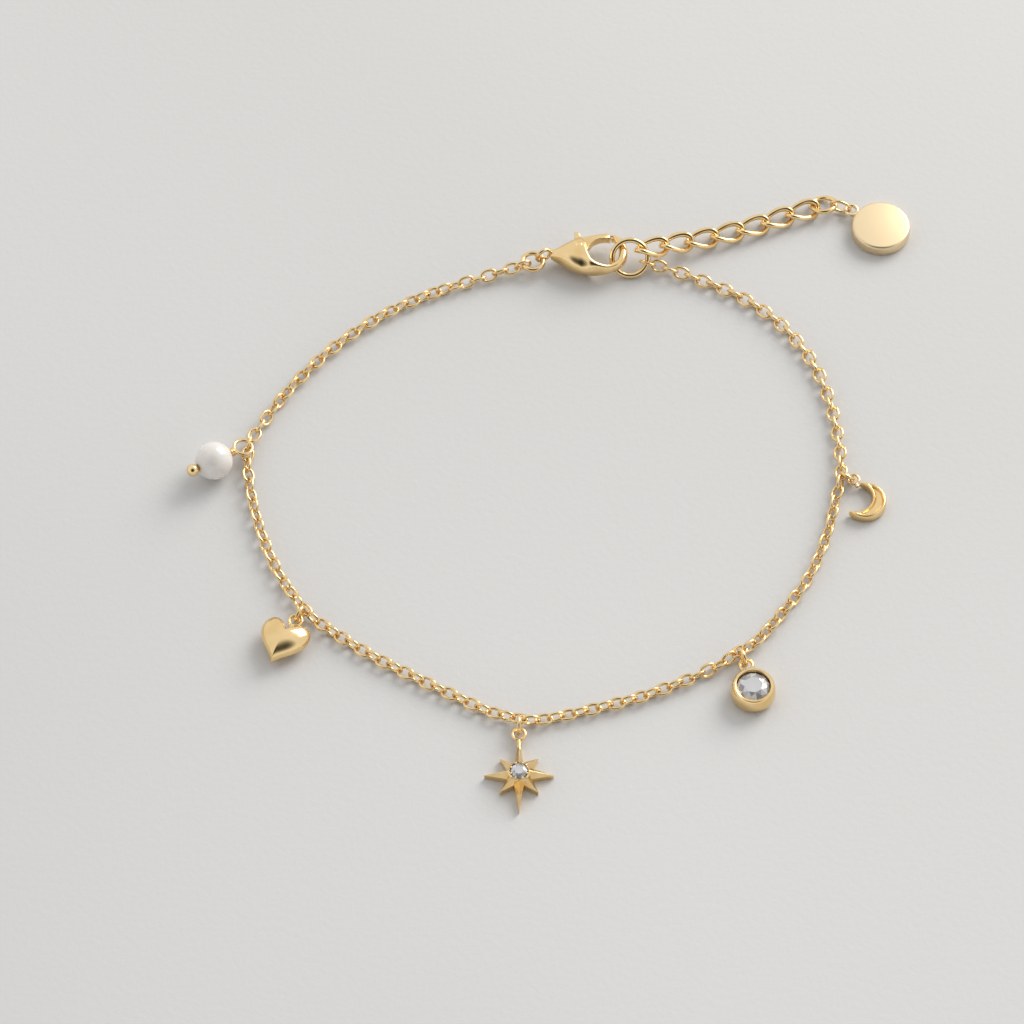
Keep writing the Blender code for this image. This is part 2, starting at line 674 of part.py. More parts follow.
# Sections of the claw from its neck round to the hook's end: near edge and far edge in plan.
CLAW_SECTIONS = [
    ((-2.20, -0.19), (-2.20, 0.15)), ((-1.93, -0.36), (-1.93, 0.26)), ((-1.62, -0.60), (-1.64, 0.45)),
    ((-1.30, -0.82), (-1.36, 0.64)), ((-1.02, -0.95), (-1.12, 0.80)), ((-0.84, -0.99), (-0.92, 0.82)),
    ((-0.69, -1.01), (-0.76, 0.52)), ((-0.52, -1.02), (-0.64, -0.06)), ((-0.33, -1.01), (-0.50, -0.42)),
    ((-0.12, -1.00), (-0.24, -0.61)), ((0.16, -0.98), (0.06, -0.67)), ((0.42, -0.90), (0.30, -0.61)),
    ((0.70, -0.72), (0.48, -0.47)), ((0.90, -0.44), (0.59, -0.27)), ((0.99, -0.12), (0.62, -0.05)),
    ((0.99, 0.20), (0.61, 0.18)), ((0.91, 0.50), (0.56, 0.40)), ((0.75, 0.76), (0.48, 0.56)),
    ((0.53, 0.93), (0.40, 0.70)), ((0.26, 1.01), (0.32, 0.75)),
]
PIVOT_SHARE = (-1.00, 0.22)
LEVER_ARM = [
    (-1.16, 0.58), (-1.24, 1.06), (-1.15, 1.13), (-1.02, 1.08), (-0.92, 0.86), (-0.66, 0.88),
    (-0.40, 0.95), (-0.10, 1.00), (0.20, 1.01), (0.27, 0.75), (0.02, 0.75), (-0.22, 0.70),
    (-0.46, 0.56), (-0.62, 0.30), (-0.70, 0.02), (-0.84, -0.12), (-1.02, -0.13), (-1.18, -0.05),
    (-1.28, 0.12), (-1.28, 0.34),
]


def claw_points(shares):
    return [Vector((x * CLAW_HALF_LENGTH, y * CLAW_HALF_WIDTH, 0)) for x, y in shares]


def inset_outline(points, distance):
    """Move each point of an anticlockwise outline inwards, square to its neighbours' line."""
    moved = []
    for i, point in enumerate(points):
        before = points[i - 1]
        after = points[(i + 1) % len(points)]
        along = ((point - before).normalized() + (after - point).normalized()).normalized()
        moved.append(point + Vector((-along.y, along.x, 0)) * distance)
    return moved


def rounded(share, across, rise):
    """A point round a section a little squarer than an ellipse."""
    a = 2 * math.pi * share
    c, s = math.cos(a), math.sin(a)
    return across * math.copysign(abs(c) ** 0.85, c) + rise * math.copysign(abs(s) ** 0.85, s)


def clasp_half_thickness(x):
    """Full thickness at the body, falling smoothly to the nose."""
    start = -0.75 * CLAW_HALF_LENGTH
    end = 0.45 * CLAW_HALF_LENGTH
    t = min(max((x - start) / (end - start), 0), 1)
    t = t * t * (3 - 2 * t)
    tail = min(max((x + 2.2 * CLAW_HALF_LENGTH) / (0.9 * CLAW_HALF_LENGTH), 0), 1)
    body = (0.34 + 0.66 * math.sin(tail * math.pi / 2)) * CLASP_THICKNESS
    return ((1 - t) * body + t * CLASP_NOSE_THICKNESS) / 2


def build_clasp(matrix, gold):
    sections = []
    for edges in CLAW_SECTIONS:
        near, far = claw_points(edges)
        middle = (near + far) / 2
        rise = UP * clasp_half_thickness(middle.x)
        sections.append([middle + rounded(i / CLAW_SIDES, (far - near) / 2, rise) for i in range(CLAW_SIDES)])
    body = link_in("clasp_body", lofted_mesh("clasp_body", sections), gold, matrix)

    pivot = claw_points([PIVOT_SHARE])[0]
    pocket_height = LEVER_THICKNESS + 2 * LEVER_SIDE_GAP
    pocket = claw_points([(-1.48, -0.10), (-1.30, -0.26), (-0.90, -0.32), (-0.40, -0.30),
                          (-0.30, 1.30), (-1.60, 1.30), (-1.60, 0.10)])
    levels = [[p + UP * side * pocket_height / 2 for p in pocket] for side in (-1, 1)]
    slot = link_in("lever_slot", layered_mesh("lever_slot", levels), gold, matrix)
    join_by(body, slot, "DIFFERENCE")

    bore_top = UP * CLASP_THICKNESS
    bore_mesh = rod_mesh("rivet_bore", pivot - bore_top, pivot + bore_top,
                         RIVET_DIAMETER + 2 * RIVET_CLEARANCE, 12)
    bore = link_in("rivet_bore", bore_mesh, gold, matrix)
    join_by(body, bore, "DIFFERENCE")

    eye_reach = 2.2 * CLAW_HALF_LENGTH + CLASP_EYE_DIAMETER / 2 - 0.22 * MM
    eye_mesh = torus_mesh("clasp_eye", CLASP_EYE_DIAMETER, CLASP_EYE_WIRE, 18)
    eye_turn = Matrix.Rotation(CLASP_EYE_TURN, 4, "Z") @ Matrix.Rotation(math.pi / 2, 4, "X")
    eye_matrix = matrix @ Matrix.Translation((-eye_reach, 0, 0)) @ eye_turn
    eye = link_in("clasp_eye", eye_mesh, gold, eye_matrix)
    join_by(body, eye, "UNION")

    arm = claw_points(LEVER_ARM)
    edge = 0.08 * MM
    levels = [(edge, -1.0), (0.0, -0.72), (0.0, 0.72), (edge, 1.0)]
    layers = [[p + UP * share * LEVER_THICKNESS / 2 for p in inset_outline(arm, -inset)]
              for inset, share in levels]
    lever = link_in("clasp_lever", layered_mesh("clasp_lever", layers), gold, matrix)
    eye_bore_mesh = rod_mesh("lever_bore", pivot - bore_top, pivot + bore_top,
                             RIVET_DIAMETER + 2 * RIVET_CLEARANCE, 12)
    join_by(lever, link_in("lever_bore", eye_bore_mesh, gold, matrix), "DIFFERENCE")

    rivet_half = UP * (0.46 * CLASP_THICKNESS)
    rivet_mesh = rod_mesh("clasp_rivet", pivot - rivet_half, pivot + rivet_half, RIVET_DIAMETER, 12)
    link_in("clasp_rivet", rivet_mesh, gold, matrix)


# Clasp side and extender

def build_closure(gold, satin):
    """Clasp ring, clasp, end ring and extender. Give the wires that the chain's two ends hold."""
    start = lay(CHAIN_ROUTE[0][1][0])
    ring_radius = (CLASP_RING_DIAMETER - CLASP_RING_WIRE) / 2
    to_ring = Vector((math.cos(math.radians(21)), math.sin(math.radians(21)), 0))
    ring_at = start + to_ring * ring_radius
    ring_at.z += 0.1 * ring_radius
    tip = Vector((0, 0, 1)) - to_ring * 0.1
    link_in("clasp_ring", torus_mesh("clasp_ring", CLASP_RING_DIAMETER, CLASP_RING_WIRE), gold,
            frame_at(ring_at, to_ring, tip))

    to_eye = Vector((0.84, 0.545, 0)).normalized()
    eye_at = ring_at + to_eye * (ring_radius + 0.22 * MM)
    eye_at.z = CLASP_THICKNESS / 2 + 0.02 * MM
    heading = Matrix.Rotation(CLASP_HEADING, 4, "Z") @ Matrix.Rotation(CLASP_PITCH, 4, "Y")
    reach = 2.2 * CLAW_HALF_LENGTH + CLASP_EYE_DIAMETER / 2 - 0.22 * MM
    claw_at = eye_at + heading.to_3x3() @ Vector((reach, 0, 0))
    build_clasp(Matrix.Translation(claw_at) @ heading, gold)

    end_radius = (END_RING_DIAMETER - END_RING_WIRE) / 2
    rise = UP * math.sin(END_RING_TILT) + Vector((0, 1, 0)) * math.cos(END_RING_TILT)
    end_at = claw_at + Vector((*END_RING_OFFSET, 0))
    end_at.z = end_radius * math.sin(END_RING_TILT) + END_RING_WIRE / 2 + 0.01 * MM
    across = Vector((1, 0, 0))
    link_in("end_ring", torus_mesh("end_ring", END_RING_DIAMETER, END_RING_WIRE, 28), gold,
            frame_at(end_at, across, across.cross(rise)))

    def on_end_ring(angle):
        place = end_at + end_radius * (across * math.cos(angle) + rise * math.sin(angle))
        return place, rise * math.cos(angle) - across * math.sin(angle)

    first, first_wire = on_end_ring(math.radians(30))
    build_extender(first, first_wire, gold, satin)
    last, last_wire = on_end_ring(math.radians(-16))
    return to_ring.cross(tip).normalized(), last, last_wire


def build_extender(first, first_wire, gold, satin):
    """Curb links from the end ring, then a round ring, a small link and the tag."""
    half = (CURB_LENGTH - CURB_WIRE) / 2
    route = catmull_rom([first] + [lay(point) for point in EXTENDER_ROUTE], ROUTE_FINENESS)
    distance = half - (END_RING_WIRE + CURB_WIRE) / 2 - END_RING_GAP
    pitch = 2 * half - CURB_WIRE - CURB_GAP
    path = twisted(oval_path(2 * half, CURB_WIDTH - CURB_WIRE, 20), half, CURB_TWIST)
    for i in range(CURB_COUNT):
        place, run = point_along(route, distance + pitch * i)
        name = f"extender_link_{i + 1}"
        link_in(name, wire_data(name, path, CURB_WIRE), gold,
                frame_at(place, run, UP))

    place, run = point_along(route, distance + pitch * (CURB_COUNT - 1))
    ring_radius = (EXTENDER_RING_DIAMETER - EXTENDER_RING_WIRE) / 2
    ring_at = place + run * (half + ring_radius - (CURB_WIRE + EXTENDER_RING_WIRE) / 2 - CURB_GAP)
    ring_normal = Matrix.Rotation(-EXTENDER_RING_TILT, 3, run) @ UP
    link_in("extender_ring", torus_mesh("extender_ring", EXTENDER_RING_DIAMETER, EXTENDER_RING_WIRE),
            gold, frame_at(ring_at, run, ring_normal))

    tag_run = Vector((math.cos(math.radians(-16)), math.sin(math.radians(-16)), -0.165)).normalized()
    held = (tag_run - tag_run.dot(ring_normal) * ring_normal).normalized() * ring_radius
    small_half = (TAG_LINK_LENGTH - TAG_LINK_WIRE) / 2
    small_at = ring_at + held + tag_run * (small_half - (EXTENDER_RING_WIRE + TAG_LINK_WIRE) / 2 - CURB_GAP)
    small_path = oval_path(2 * small_half, TAG_LINK_WIDTH - TAG_LINK_WIRE)
    small_normal = Matrix.Rotation(math.radians(80), 3, tag_run) @ UP
    link_in("extender_tag_link", wire_data("extender_tag_link", small_path, TAG_LINK_WIRE), gold,
            frame_at(small_at, tag_run, small_normal))

    loop_radius = (TAG_LOOP_DIAMETER - TAG_LOOP_WIRE) / 2
    loop_at = small_at + tag_run * (small_half + loop_radius - (TAG_LINK_WIRE + TAG_LOOP_WIRE) / 2
                                    - CURB_GAP)
    build_tag(loop_at, satin)


def build_tag(loop_at, satin):
    """A plain round disc with rounded edges and a soldered loop."""
    radius = TAG_DIAMETER / 2
    edge = TAG_EDGE_RADIUS
    top = TAG_THICKNESS
    profile = [(0, 0), (radius - edge, 0), (radius - 0.3 * edge, 0.3 * edge), (radius, edge),
               (radius, top - edge), (radius - 0.3 * edge, top - 0.3 * edge), (radius - edge, top), (0, top)]
    tag = link_in("extender_tag", turned_mesh("extender_tag", profile, 32), satin)
    centre = Vector((0, TAG_LOOP_REACH, 0.54 * TAG_THICKNESS))
    solder_loop(tag, "tag", centre, Vector((0, 0.9 * radius, TAG_THICKNESS / 2)), satin,
                TAG_LOOP_DIAMETER, TAG_LOOP_WIRE)
    place_charm(tag, centre, loop_at, TAG_HEADING)


def build_charms(stretches, gold, pearl, stone):
    """The five charms, each on the real link that starts its stretch."""
    starts = [(dense[0], dense[1] - dense[0]) for _, dense in stretches]

    place, run = starts[1]
    chain_link("link_pearl", place, run, build_pearl(place + UP * PIN_EYE_LIFT, gold, pearl), gold)
    low = point_along(stretches[1][1], PEARL_LINK_PITCH)[0]
    low.z = place.z - PEARL_LINK_DROP
    lean = UP.cross((low - place).normalized()) * math.tan(PEARL_LINK_ROLL)
    chain_link("link_pearl_lower", low, low - place, UP + lean, gold)

    place, run = starts[2]
    heart_height = HEART_THICKNESS / 2
    loop, wire = hang("heart_jump_ring", place, math.radians(241), heart_height, gold)
    chain_link("link_heart", place, run, wire, gold)
    heart, local = build_heart(heart_height, gold)
    place_charm(heart, local, loop, HEART_HEADING)

    place, run = starts[3]
    star_height = 0.48 * STAR_THICKNESS
    loop, wire = hang("star_jump_ring", place, math.radians(270), star_height, gold)
    chain_link("link_star", place, run, wire, gold)
    star, local = build_star(star_height, gold)
    place_charm(star, local, loop, 0.0)
    set_stone("star_stone", STAR_STONE_DIAMETER, star, STAR_THICKNESS - 0.10 * MM, stone)

    place, run = starts[4]
    drop_height = 0.5 * DROP_HEIGHT
    loop, wire = hang("drop_jump_ring", place, math.radians(292), drop_height, gold)
    chain_link("link_drop", place, run, wire, gold)
    drop, local = build_drop(drop_height, gold)
    place_charm(drop, local, loop, DROP_HEADING)
    set_stone("drop_stone", DROP_STONE_DIAMETER, drop, 0.80 * DROP_HEIGHT, stone)

    place, run = starts[5]
    moon_height = 0.72 * MM
    loop, wire = hang("moon_jump_ring", place, math.radians(324), moon_height, gold,
                      MOON_JUMP_DIAMETER, MOON_JUMP_TILT)
    chain_link("link_moon", place, run, wire, gold)
    moon, local = build_moon(moon_height, gold)
    place_charm(moon, local, loop, MOON_HEADING)


def main():
    clear_scene()
    finishes = make_materials()
    gold = finishes["gold"]
    first_wire, end_point, end_wire = build_closure(gold, finishes["satin_gold"])
    stretches = chain_stretches(end_point)
    build_chain(stretches, gold)
    start_run = stretches[0][1][1] - stretches[0][1][0]
    chain_link("link_clasp_side", stretches[0][1][0], start_run, first_wire, gold)
    end_run = stretches[-1][1][-1] - stretches[-1][1][-2]
    chain_link("link_ring_side", end_point, end_run, end_wire, gold)
    build_charms(stretches, gold, finishes["pearl"], finishes["stone"])


main()
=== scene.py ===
"""Looks of the charm bracelet: real chain links, polished gold, pearl and cut stones.

Metres, +Z up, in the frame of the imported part. Layout millimetres are measured from the middle of
the loop as it lies, and lay() turns them into that frame.
"""
import logging
import math
import random
from dataclasses import dataclass, field
from enum import Enum
from typing import Callable

import bpy
from mathutils import Matrix, Vector
from mathutils.geometry import tessellate_polygon


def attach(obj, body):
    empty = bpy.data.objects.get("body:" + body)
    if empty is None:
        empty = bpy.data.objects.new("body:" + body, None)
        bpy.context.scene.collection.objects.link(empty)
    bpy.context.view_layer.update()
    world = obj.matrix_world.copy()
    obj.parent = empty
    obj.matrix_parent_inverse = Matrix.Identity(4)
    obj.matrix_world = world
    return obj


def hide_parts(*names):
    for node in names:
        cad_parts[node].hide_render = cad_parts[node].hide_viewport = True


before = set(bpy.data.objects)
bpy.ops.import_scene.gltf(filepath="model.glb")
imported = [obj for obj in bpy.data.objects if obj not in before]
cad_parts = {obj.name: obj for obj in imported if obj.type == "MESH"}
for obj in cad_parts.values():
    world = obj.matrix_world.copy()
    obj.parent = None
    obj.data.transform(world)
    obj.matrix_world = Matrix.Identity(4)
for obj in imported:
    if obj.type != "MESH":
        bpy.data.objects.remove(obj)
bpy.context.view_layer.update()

log = logging.getLogger("charm_bracelet")

MM = 0.001
UP = Vector((0, 0, 1))
LAYOUT_CENTRE = (4.163, 2.088)
# Face attribute holding each stone facet's painted light, from painted shade to painted highlight.
FACET_PAINTED_LIGHT = "facet_painted_light"
FINE_RELIEF = 2e-5
Point = tuple[float, float, float]


def lay(point: Point) -> Vector:
    """Turn a layout point in millimetres into a place in the part's frame.

    Args:
        point: Layout coordinates in millimetres.

    Returns:
        The place in metres.
    """
    return Vector((point[0] - LAYOUT_CENTRE[0], point[1] - LAYOUT_CENTRE[1], point[2])) * MM


def frame_at(place: Vector, long_axis: Vector, normal: Vector) -> Matrix:
    """Build the frame of a piece from its long axis and its normal.

    Args:
        place: Origin of the frame.
        long_axis: Direction of X.
        normal: Rough direction of Z, squared up against X.

    Returns:
        A rigid 4x4 matrix.
    """
    x = long_axis.normalized()
    z = (normal - normal.dot(x) * x).normalized()
    return Matrix.Translation(place) @ Matrix((x, z.cross(x), z)).transposed().to_4x4()


def catmull_rom(points: list[Vector], fineness: int) -> list[Vector]:
    """Lay dense points on a smooth curve through the given ones.

    Args:
        points: Points that the curve passes through.
        fineness: Number of steps from one given point to the next.

    Returns:
        The dense points, ends included.
    """
    ends = [points[0] * 2 - points[1]] + points + [points[-1] * 2 - points[-2]]
    dense = []
    for p0, p1, p2, p3 in zip(ends, ends[1:], ends[2:], ends[3:]):
        for i in range(fineness):
            t = i / fineness
            dense.append(0.5 * (2 * p1 + (p2 - p0) * t + (2 * p0 - 5 * p1 + 4 * p2 - p3) * t ** 2
                                + (3 * p1 - p0 - 3 * p2 + p3) * t ** 3))
    dense.append(points[-1].copy())
    return dense


def point_along(points: list[Vector], distance: float) -> tuple[Vector, Vector]:
    """Walk along a line of points.

    Args:
        points: The line.
        distance: How far to walk, in metres.

    Returns:
        The point reached, and the direction of the line there.
    """
    for a, b in zip(points, points[1:]):
        step = (b - a).length
        if distance <= step:
            return a.lerp(b, max(distance, 0) / step), (b - a).normalized()
        distance -= step
    return points[-1].copy(), (points[-1] - points[-2]).normalized()


# Working with meshes through Blender's tools

def deselect_all() -> None:
    """Leave nothing selected, in object mode."""
    if bpy.context.object is not None and bpy.context.object.mode != "OBJECT":
        bpy.ops.object.mode_set(mode="OBJECT")
    bpy.ops.object.select_all(action="DESELECT")


def add_mesh(name: str, points: list[Point], edges: list[tuple[int, int]],
             faces: list[tuple[int, ...]]) -> bpy.types.Object:
    """Add a mesh object from its points, edges and faces."""
    mesh = bpy.data.meshes.new(name)
    mesh.from_pydata(points, edges, faces)
    piece = bpy.data.objects.new(name, mesh)
    bpy.context.scene.collection.objects.link(piece)
    return piece


def activate(piece: bpy.types.Object) -> None:
    """Make one piece the only selected and the active one."""
    deselect_all()
    piece.select_set(True)
    bpy.context.view_layer.objects.active = piece


def take_new(name: str) -> bpy.types.Object:
    """Name the primitive that a tool just added, and its mesh."""
    piece = bpy.context.object
    piece.name = name
    piece.data.name = name
    return piece


def edit_vertices(piece: bpy.types.Object, pick: Callable[[Vector], bool]) -> None:
    """Enter edit mode with the vertices selected that a test picks.

    Args:
        piece: The mesh object to edit.
        pick: Takes a vertex's place and says whether it is wanted.
    """
    activate(piece)
    mesh = piece.data
    mesh.polygons.foreach_set("select", [False] * len(mesh.polygons))
    mesh.edges.foreach_set("select", [False] * len(mesh.edges))
    mesh.vertices.foreach_set("select", [pick(v.co) for v in mesh.vertices])
    bpy.ops.object.mode_set(mode="EDIT")
    bpy.ops.mesh.select_mode(type="VERT")


def edit_faces(piece: bpy.types.Object, pick: Callable[[bpy.types.MeshPolygon], bool]) -> None:
    """Enter edit mode with the faces selected that a test picks.

    Args:
        piece: The mesh object to edit.
        pick: Takes a face and says whether it is wanted.
    """
    activate(piece)
    mesh = piece.data
    mesh.vertices.foreach_set("select", [False] * len(mesh.vertices))
    mesh.edges.foreach_set("select", [False] * len(mesh.edges))
    mesh.polygons.foreach_set("select", [False] * len(mesh.polygons))
    chosen = [pick(f) for f in mesh.polygons]
    bpy.ops.object.mode_set(mode="EDIT")
    bpy.ops.mesh.select_mode(type="FACE")
    bpy.ops.object.mode_set(mode="OBJECT")
    mesh.polygons.foreach_set("select", chosen)
    bpy.ops.object.mode_set(mode="EDIT")


def end_edit() -> None:
    """Go back to object mode."""
    bpy.ops.object.mode_set(mode="OBJECT")


def apply_modifier(piece: bpy.types.Object, kind: str, **settings: object) -> None:
    """Add a modifier with its settings and apply it.

    Args:
        piece: The mesh object.
        kind: Blender's name for the type of modifier.
        **settings: Properties to set on it.
    """
    activate(piece)
    modifier = piece.modifiers.new(kind.title(), kind)
    for key, value in settings.items():
        setattr(modifier, key, value)
    bpy.ops.object.modifier_apply(modifier=modifier.name)


def smooth(piece: bpy.types.Object, angle: float = 40.0) -> None:
    """Shade a piece smooth up to an angle in degrees, with its faces outwards."""
    edit_vertices(piece, lambda _: True)
    bpy.ops.mesh.select_all(action="SELECT")
    bpy.ops.mesh.remove_doubles(threshold=1e-7)
    bpy.ops.mesh.normals_make_consistent(inside=False)
    end_edit()
    bpy.ops.object.shade_smooth_by_angle(angle=math.radians(angle))


def settle(piece: bpy.types.Object, matrix: Matrix) -> None:
    """Move a mesh by a matrix and leave its object at the origin."""
    piece.data.transform(matrix @ piece.matrix_world)
    piece.matrix_world = Matrix.Identity(4)


def take_settled(name: str) -> bpy.types.Object:
    """Name the primitive that a tool just added, and leave its object at the origin."""
    piece = take_new(name)
    settle(piece, Matrix.Identity(4))
    return piece


def join(name: str, pieces: list[bpy.types.Object]) -> bpy.types.Object:
    """Join several meshes into one object.

    Args:
        name: Name of the joined piece.
        pieces: The objects to join.

    Returns:
        The joined object.
    """
    deselect_all()
    for piece in pieces:
        piece.select_set(True)
    bpy.context.view_layer.objects.active = pieces[0]
    if len(pieces) > 1:
        bpy.ops.object.join()
    joined = bpy.context.object
    joined.name = name
    joined.data.name = name
    return joined


def copy_mesh(piece: bpy.types.Object, matrix: Matrix) -> bpy.types.Object:
    """Copy a piece with its own mesh, moved by a matrix."""
    twin = piece.copy()
    twin.data = piece.data.copy()
    bpy.context.scene.collection.objects.link(twin)
    twin.data.transform(matrix)
    return twin


def remove(piece: bpy.types.Object) -> None:
    """Delete a helper object."""
    bpy.data.objects.remove(piece, do_unlink=True)


class Body(Enum):
    """The moving bodies of the part."""

    BRACELET = "bracelet"
    LEVER = "clasp_lever"


def hand_in(piece: bpy.types.Object, finish: "Finish", nodes: tuple[str, ...],
            body: Body = Body.BRACELET) -> None:
    """Dress a finished piece, let it ride on its body and stand for its CAD nodes.

    Args:
        piece: The finished mesh object.
        finish: Its finish.
        nodes: CAD nodes that it stands for.
        body: Body that it moves with.
    """
    piece.data.materials.clear()
    piece.data.materials.append(finish.material())
    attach(piece, body.value)
    if nodes:
        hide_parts(*nodes)
    log.info("%s: %d faces, %s", piece.name, len(piece.data.polygons), finish.slot)


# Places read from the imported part

@dataclass(frozen=True)
class Loop:
    """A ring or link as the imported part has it: its frame and its sizes."""

    matrix: Matrix
    length: float
    width: float
    wire: float

    @classmethod
    def measure(cls, node: str) -> "Loop":
        """Measure a ring or link of the part.

        Args:
            node: Name of the CAD node.

        Returns:
            Its frame, with X along it and Z across its plane, and its sizes.
        """
        seen = {tuple(round(c, 8) for c in v.co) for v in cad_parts[node].data.vertices}
        points = [Vector(p) for p in seen]
        centre = sum(points, Vector()) / len(points)
        spread = Matrix(((0.0,) * 3,) * 3)
        for p in points:
            d = p - centre
            for i in range(3):
                for j in range(3):
                    spread[i][j] += d[i] * d[j]
        normal = cls._least_axis(spread)
        flat = [(p - centre) - (p - centre).dot(normal) * normal for p in points]
        long_axis = max(flat, key=lambda d: d.length)
        far = long_axis.length
        near = [d for d in flat if d.length > 0.985 * far and d.dot(long_axis) > 0.9 * far ** 2]
        long_axis = sum(near, Vector()).normalized()
        across = normal.cross(long_axis)
        reach = [max(abs(d.dot(axis)) for d in flat) for axis in (long_axis, across)]
        wire = 2 * max(abs((p - centre).dot(normal)) for p in points)
        return cls(frame_at(centre, long_axis, normal), 2 * reach[0], 2 * reach[1], wire)

    @staticmethod
    def _least_axis(spread: Matrix) -> Vector:
        """Find the direction in which the points spread least, by inverse iteration."""
        size = sum(spread[i][i] for i in range(3)) / 3
        steadied = spread + Matrix.Identity(3) * (size * 1e-4)
        inverse = steadied.inverted()
        axis = Vector((0.31, 0.52, 0.79))
        for _ in range(60):
            axis = (inverse @ axis).normalized()
        return axis if axis.z >= 0 else -axis


# Finishes

@dataclass(frozen=True)
class Finish:
    """A procedural finish. Subclasses fill in the shader."""

    name: str
    slot: str

    def material(self) -> bpy.types.Material:
        """Build the material once, and give the same one afterwards."""
        found = bpy.data.materials.get(self.name)
        if found is not None:
            return found
        made = bpy.data.materials.new(self.name)
        made.use_nodes = True
        self.dress(made.node_tree)
        return made

    def dress(self, tree: bpy.types.NodeTree) -> None:
        """Fill in the shader's nodes."""
        raise NotImplementedError

    @staticmethod
    def noise(tree: bpy.types.NodeTree, scale: float, detail: float) -> bpy.types.NodeSocket:
        """Add a noise pattern on object coordinates, with its scale per metre."""
        place = tree.nodes.new("ShaderNodeTexCoord")
        pattern = tree.nodes.new("ShaderNodeTexNoise")
        pattern.inputs["Scale"].default_value = scale
        pattern.inputs["Detail"].default_value = detail
        tree.links.new(place.outputs["Object"], pattern.inputs["Vector"])
        return pattern.outputs["Fac"]

    @staticmethod
    def set_shader(tree: bpy.types.NodeTree, inputs: dict[str, object]) -> None:
        """Fill in the shader's inputs: a socket is linked, and a plain value is set."""
        shader = tree.nodes["Principled BSDF"]
        for name, value in inputs.items():
            if isinstance(value, bpy.types.NodeSocket):
                tree.links.new(value, shader.inputs[name])
            else:
                shader.inputs[name].default_value = value

    @staticmethod
    def spread(tree: bpy.types.NodeTree, source: bpy.types.NodeSocket,
               low: float, high: float) -> bpy.types.NodeSocket:
        """Map a pattern from 0.3..0.7 to a range of values."""
        ranged = tree.nodes.new("ShaderNodeMapRange")
        for name, value in (("From Min", 0.3), ("From Max", 0.7), ("To Min", low), ("To Max", high)):
            ranged.inputs[name].default_value = value
        tree.links.new(source, ranged.inputs["Value"])
        return ranged.outputs["Result"]

    @staticmethod
    def bump(tree: bpy.types.NodeTree, source: bpy.types.NodeSocket,
             strength: float, distance: float = FINE_RELIEF) -> bpy.types.NodeSocket:
        """Turn a pattern into a small relief."""
        relief = tree.nodes.new("ShaderNodeBump")
        relief.inputs["Strength"].default_value = strength
        relief.inputs["Distance"].default_value = distance
        tree.links.new(source, relief.inputs["Height"])
        return relief.outputs["Normal"]

    @staticmethod
    def between(tree: bpy.types.NodeTree, share: bpy.types.NodeSocket,
                dark: Point, light: Point) -> bpy.types.NodeSocket:
        """Blend two colours by a pattern."""
        ramp = tree.nodes.new("ShaderNodeValToRGB")
        for stop, place, colour in zip(ramp.color_ramp.elements, (0.32, 0.68), (dark, light)):
            stop.position = place
            stop.color = (*colour, 1)
        tree.links.new(share, ramp.inputs["Fac"])
        return ramp.outputs["Color"]


@dataclass(frozen=True)
class Gold(Finish):
    """Gold plate: a warm metal with slight changes of tone, gloss and level."""

    dark: Point = (0.84, 0.595, 0.275)
    light: Point = (0.93, 0.690, 0.355)
    gloss: tuple[float, float] = (0.09, 0.16)
    grain: float = 9000.0
    relief: float = 0.04

    def dress(self, tree: bpy.types.NodeTree) -> None:
        """Fill in the metal shader."""
        self.set_shader(tree, {
            "Metallic": 1.0,
            "Base Color": self.between(tree, self.noise(tree, 700.0, 2.0), self.dark, self.light),
            "Roughness": self.spread(tree, self.noise(tree, 2400.0, 3.0), *self.gloss),
            "Normal": self.bump(tree, self.noise(tree, self.grain, 3.0), self.relief),
        })


@dataclass(frozen=True)
class Pearl(Finish):
    """Nacre: white with a soft deep sheen and a thin clear coat."""

    dark: Point = (0.78, 0.73, 0.67)
    light: Point = (0.87, 0.83, 0.78)

    def dress(self, tree: bpy.types.NodeTree) -> None:
        """Fill in the nacre shader."""
        tone = self.noise(tree, 420.0, 3.0)
        self.set_shader(tree, {
            "Base Color": self.between(tree, tone, self.dark, self.light),
            "Roughness": self.spread(tree, self.noise(tree, 1500.0, 2.0), 0.24, 0.34),
            "Subsurface Weight": 0.25,
            "Subsurface Radius": (1.0, 0.75, 0.55),
            "Subsurface Scale": 0.0006,
            "Coat Weight": 0.9,
            "Coat Roughness": 0.12,
            "Sheen Weight": 0.2,
            "Normal": self.bump(tree, tone, 0.02),
        })


@dataclass(frozen=True)
class CutStone(Finish):
    """A cut stone, partly clear, whose facets carry painted light: each is as dark or light as its stored
    painted tone says, in place of the light that comes back out of the stone.
    """

    # Darkest and brightest painted facet light: painted shade up to a painted white glint.
    dark: Point = (0.42, 0.41, 0.40)
    light: Point = (1.0, 1.0, 1.0)

    def dress(self, tree: bpy.types.NodeTree) -> None:
        """Fill in the stone's shader."""
        facet = tree.nodes.new("ShaderNodeAttribute")
        facet.attribute_name = FACET_PAINTED_LIGHT
        # The base colour is painted light: each facet's stored tone picks a shade between dark and light.
        self.set_shader(tree, {
            "IOR": 2.1,
            "Transmission Weight": 0.40,
            "Base Color": self.between(tree, facet.outputs["Fac"], self.dark, self.light),
            "Roughness": self.spread(tree, self.noise(tree, 3000.0, 2.0), 0.01, 0.04),
        })


@dataclass(frozen=True)
class PaleCloth(Finish):
    """The plain pale floor, with a very fine grain."""

    dark: Point = (0.66, 0.65, 0.63)
    light: Point = (0.72, 0.71, 0.69)

    def dress(self, tree: bpy.types.NodeTree) -> None:
        """Fill in the floor's shader."""
        self.set_shader(tree, {
            "Base Color": self.between(tree, self.noise(tree, 6.0, 2.0), self.dark, self.light),
            "Normal": self.bump(tree, self.noise(tree, 1600.0, 3.0), 0.25, 1e-4),
            "Roughness": 0.85,
            "Specular IOR Level": 0.2,
        })


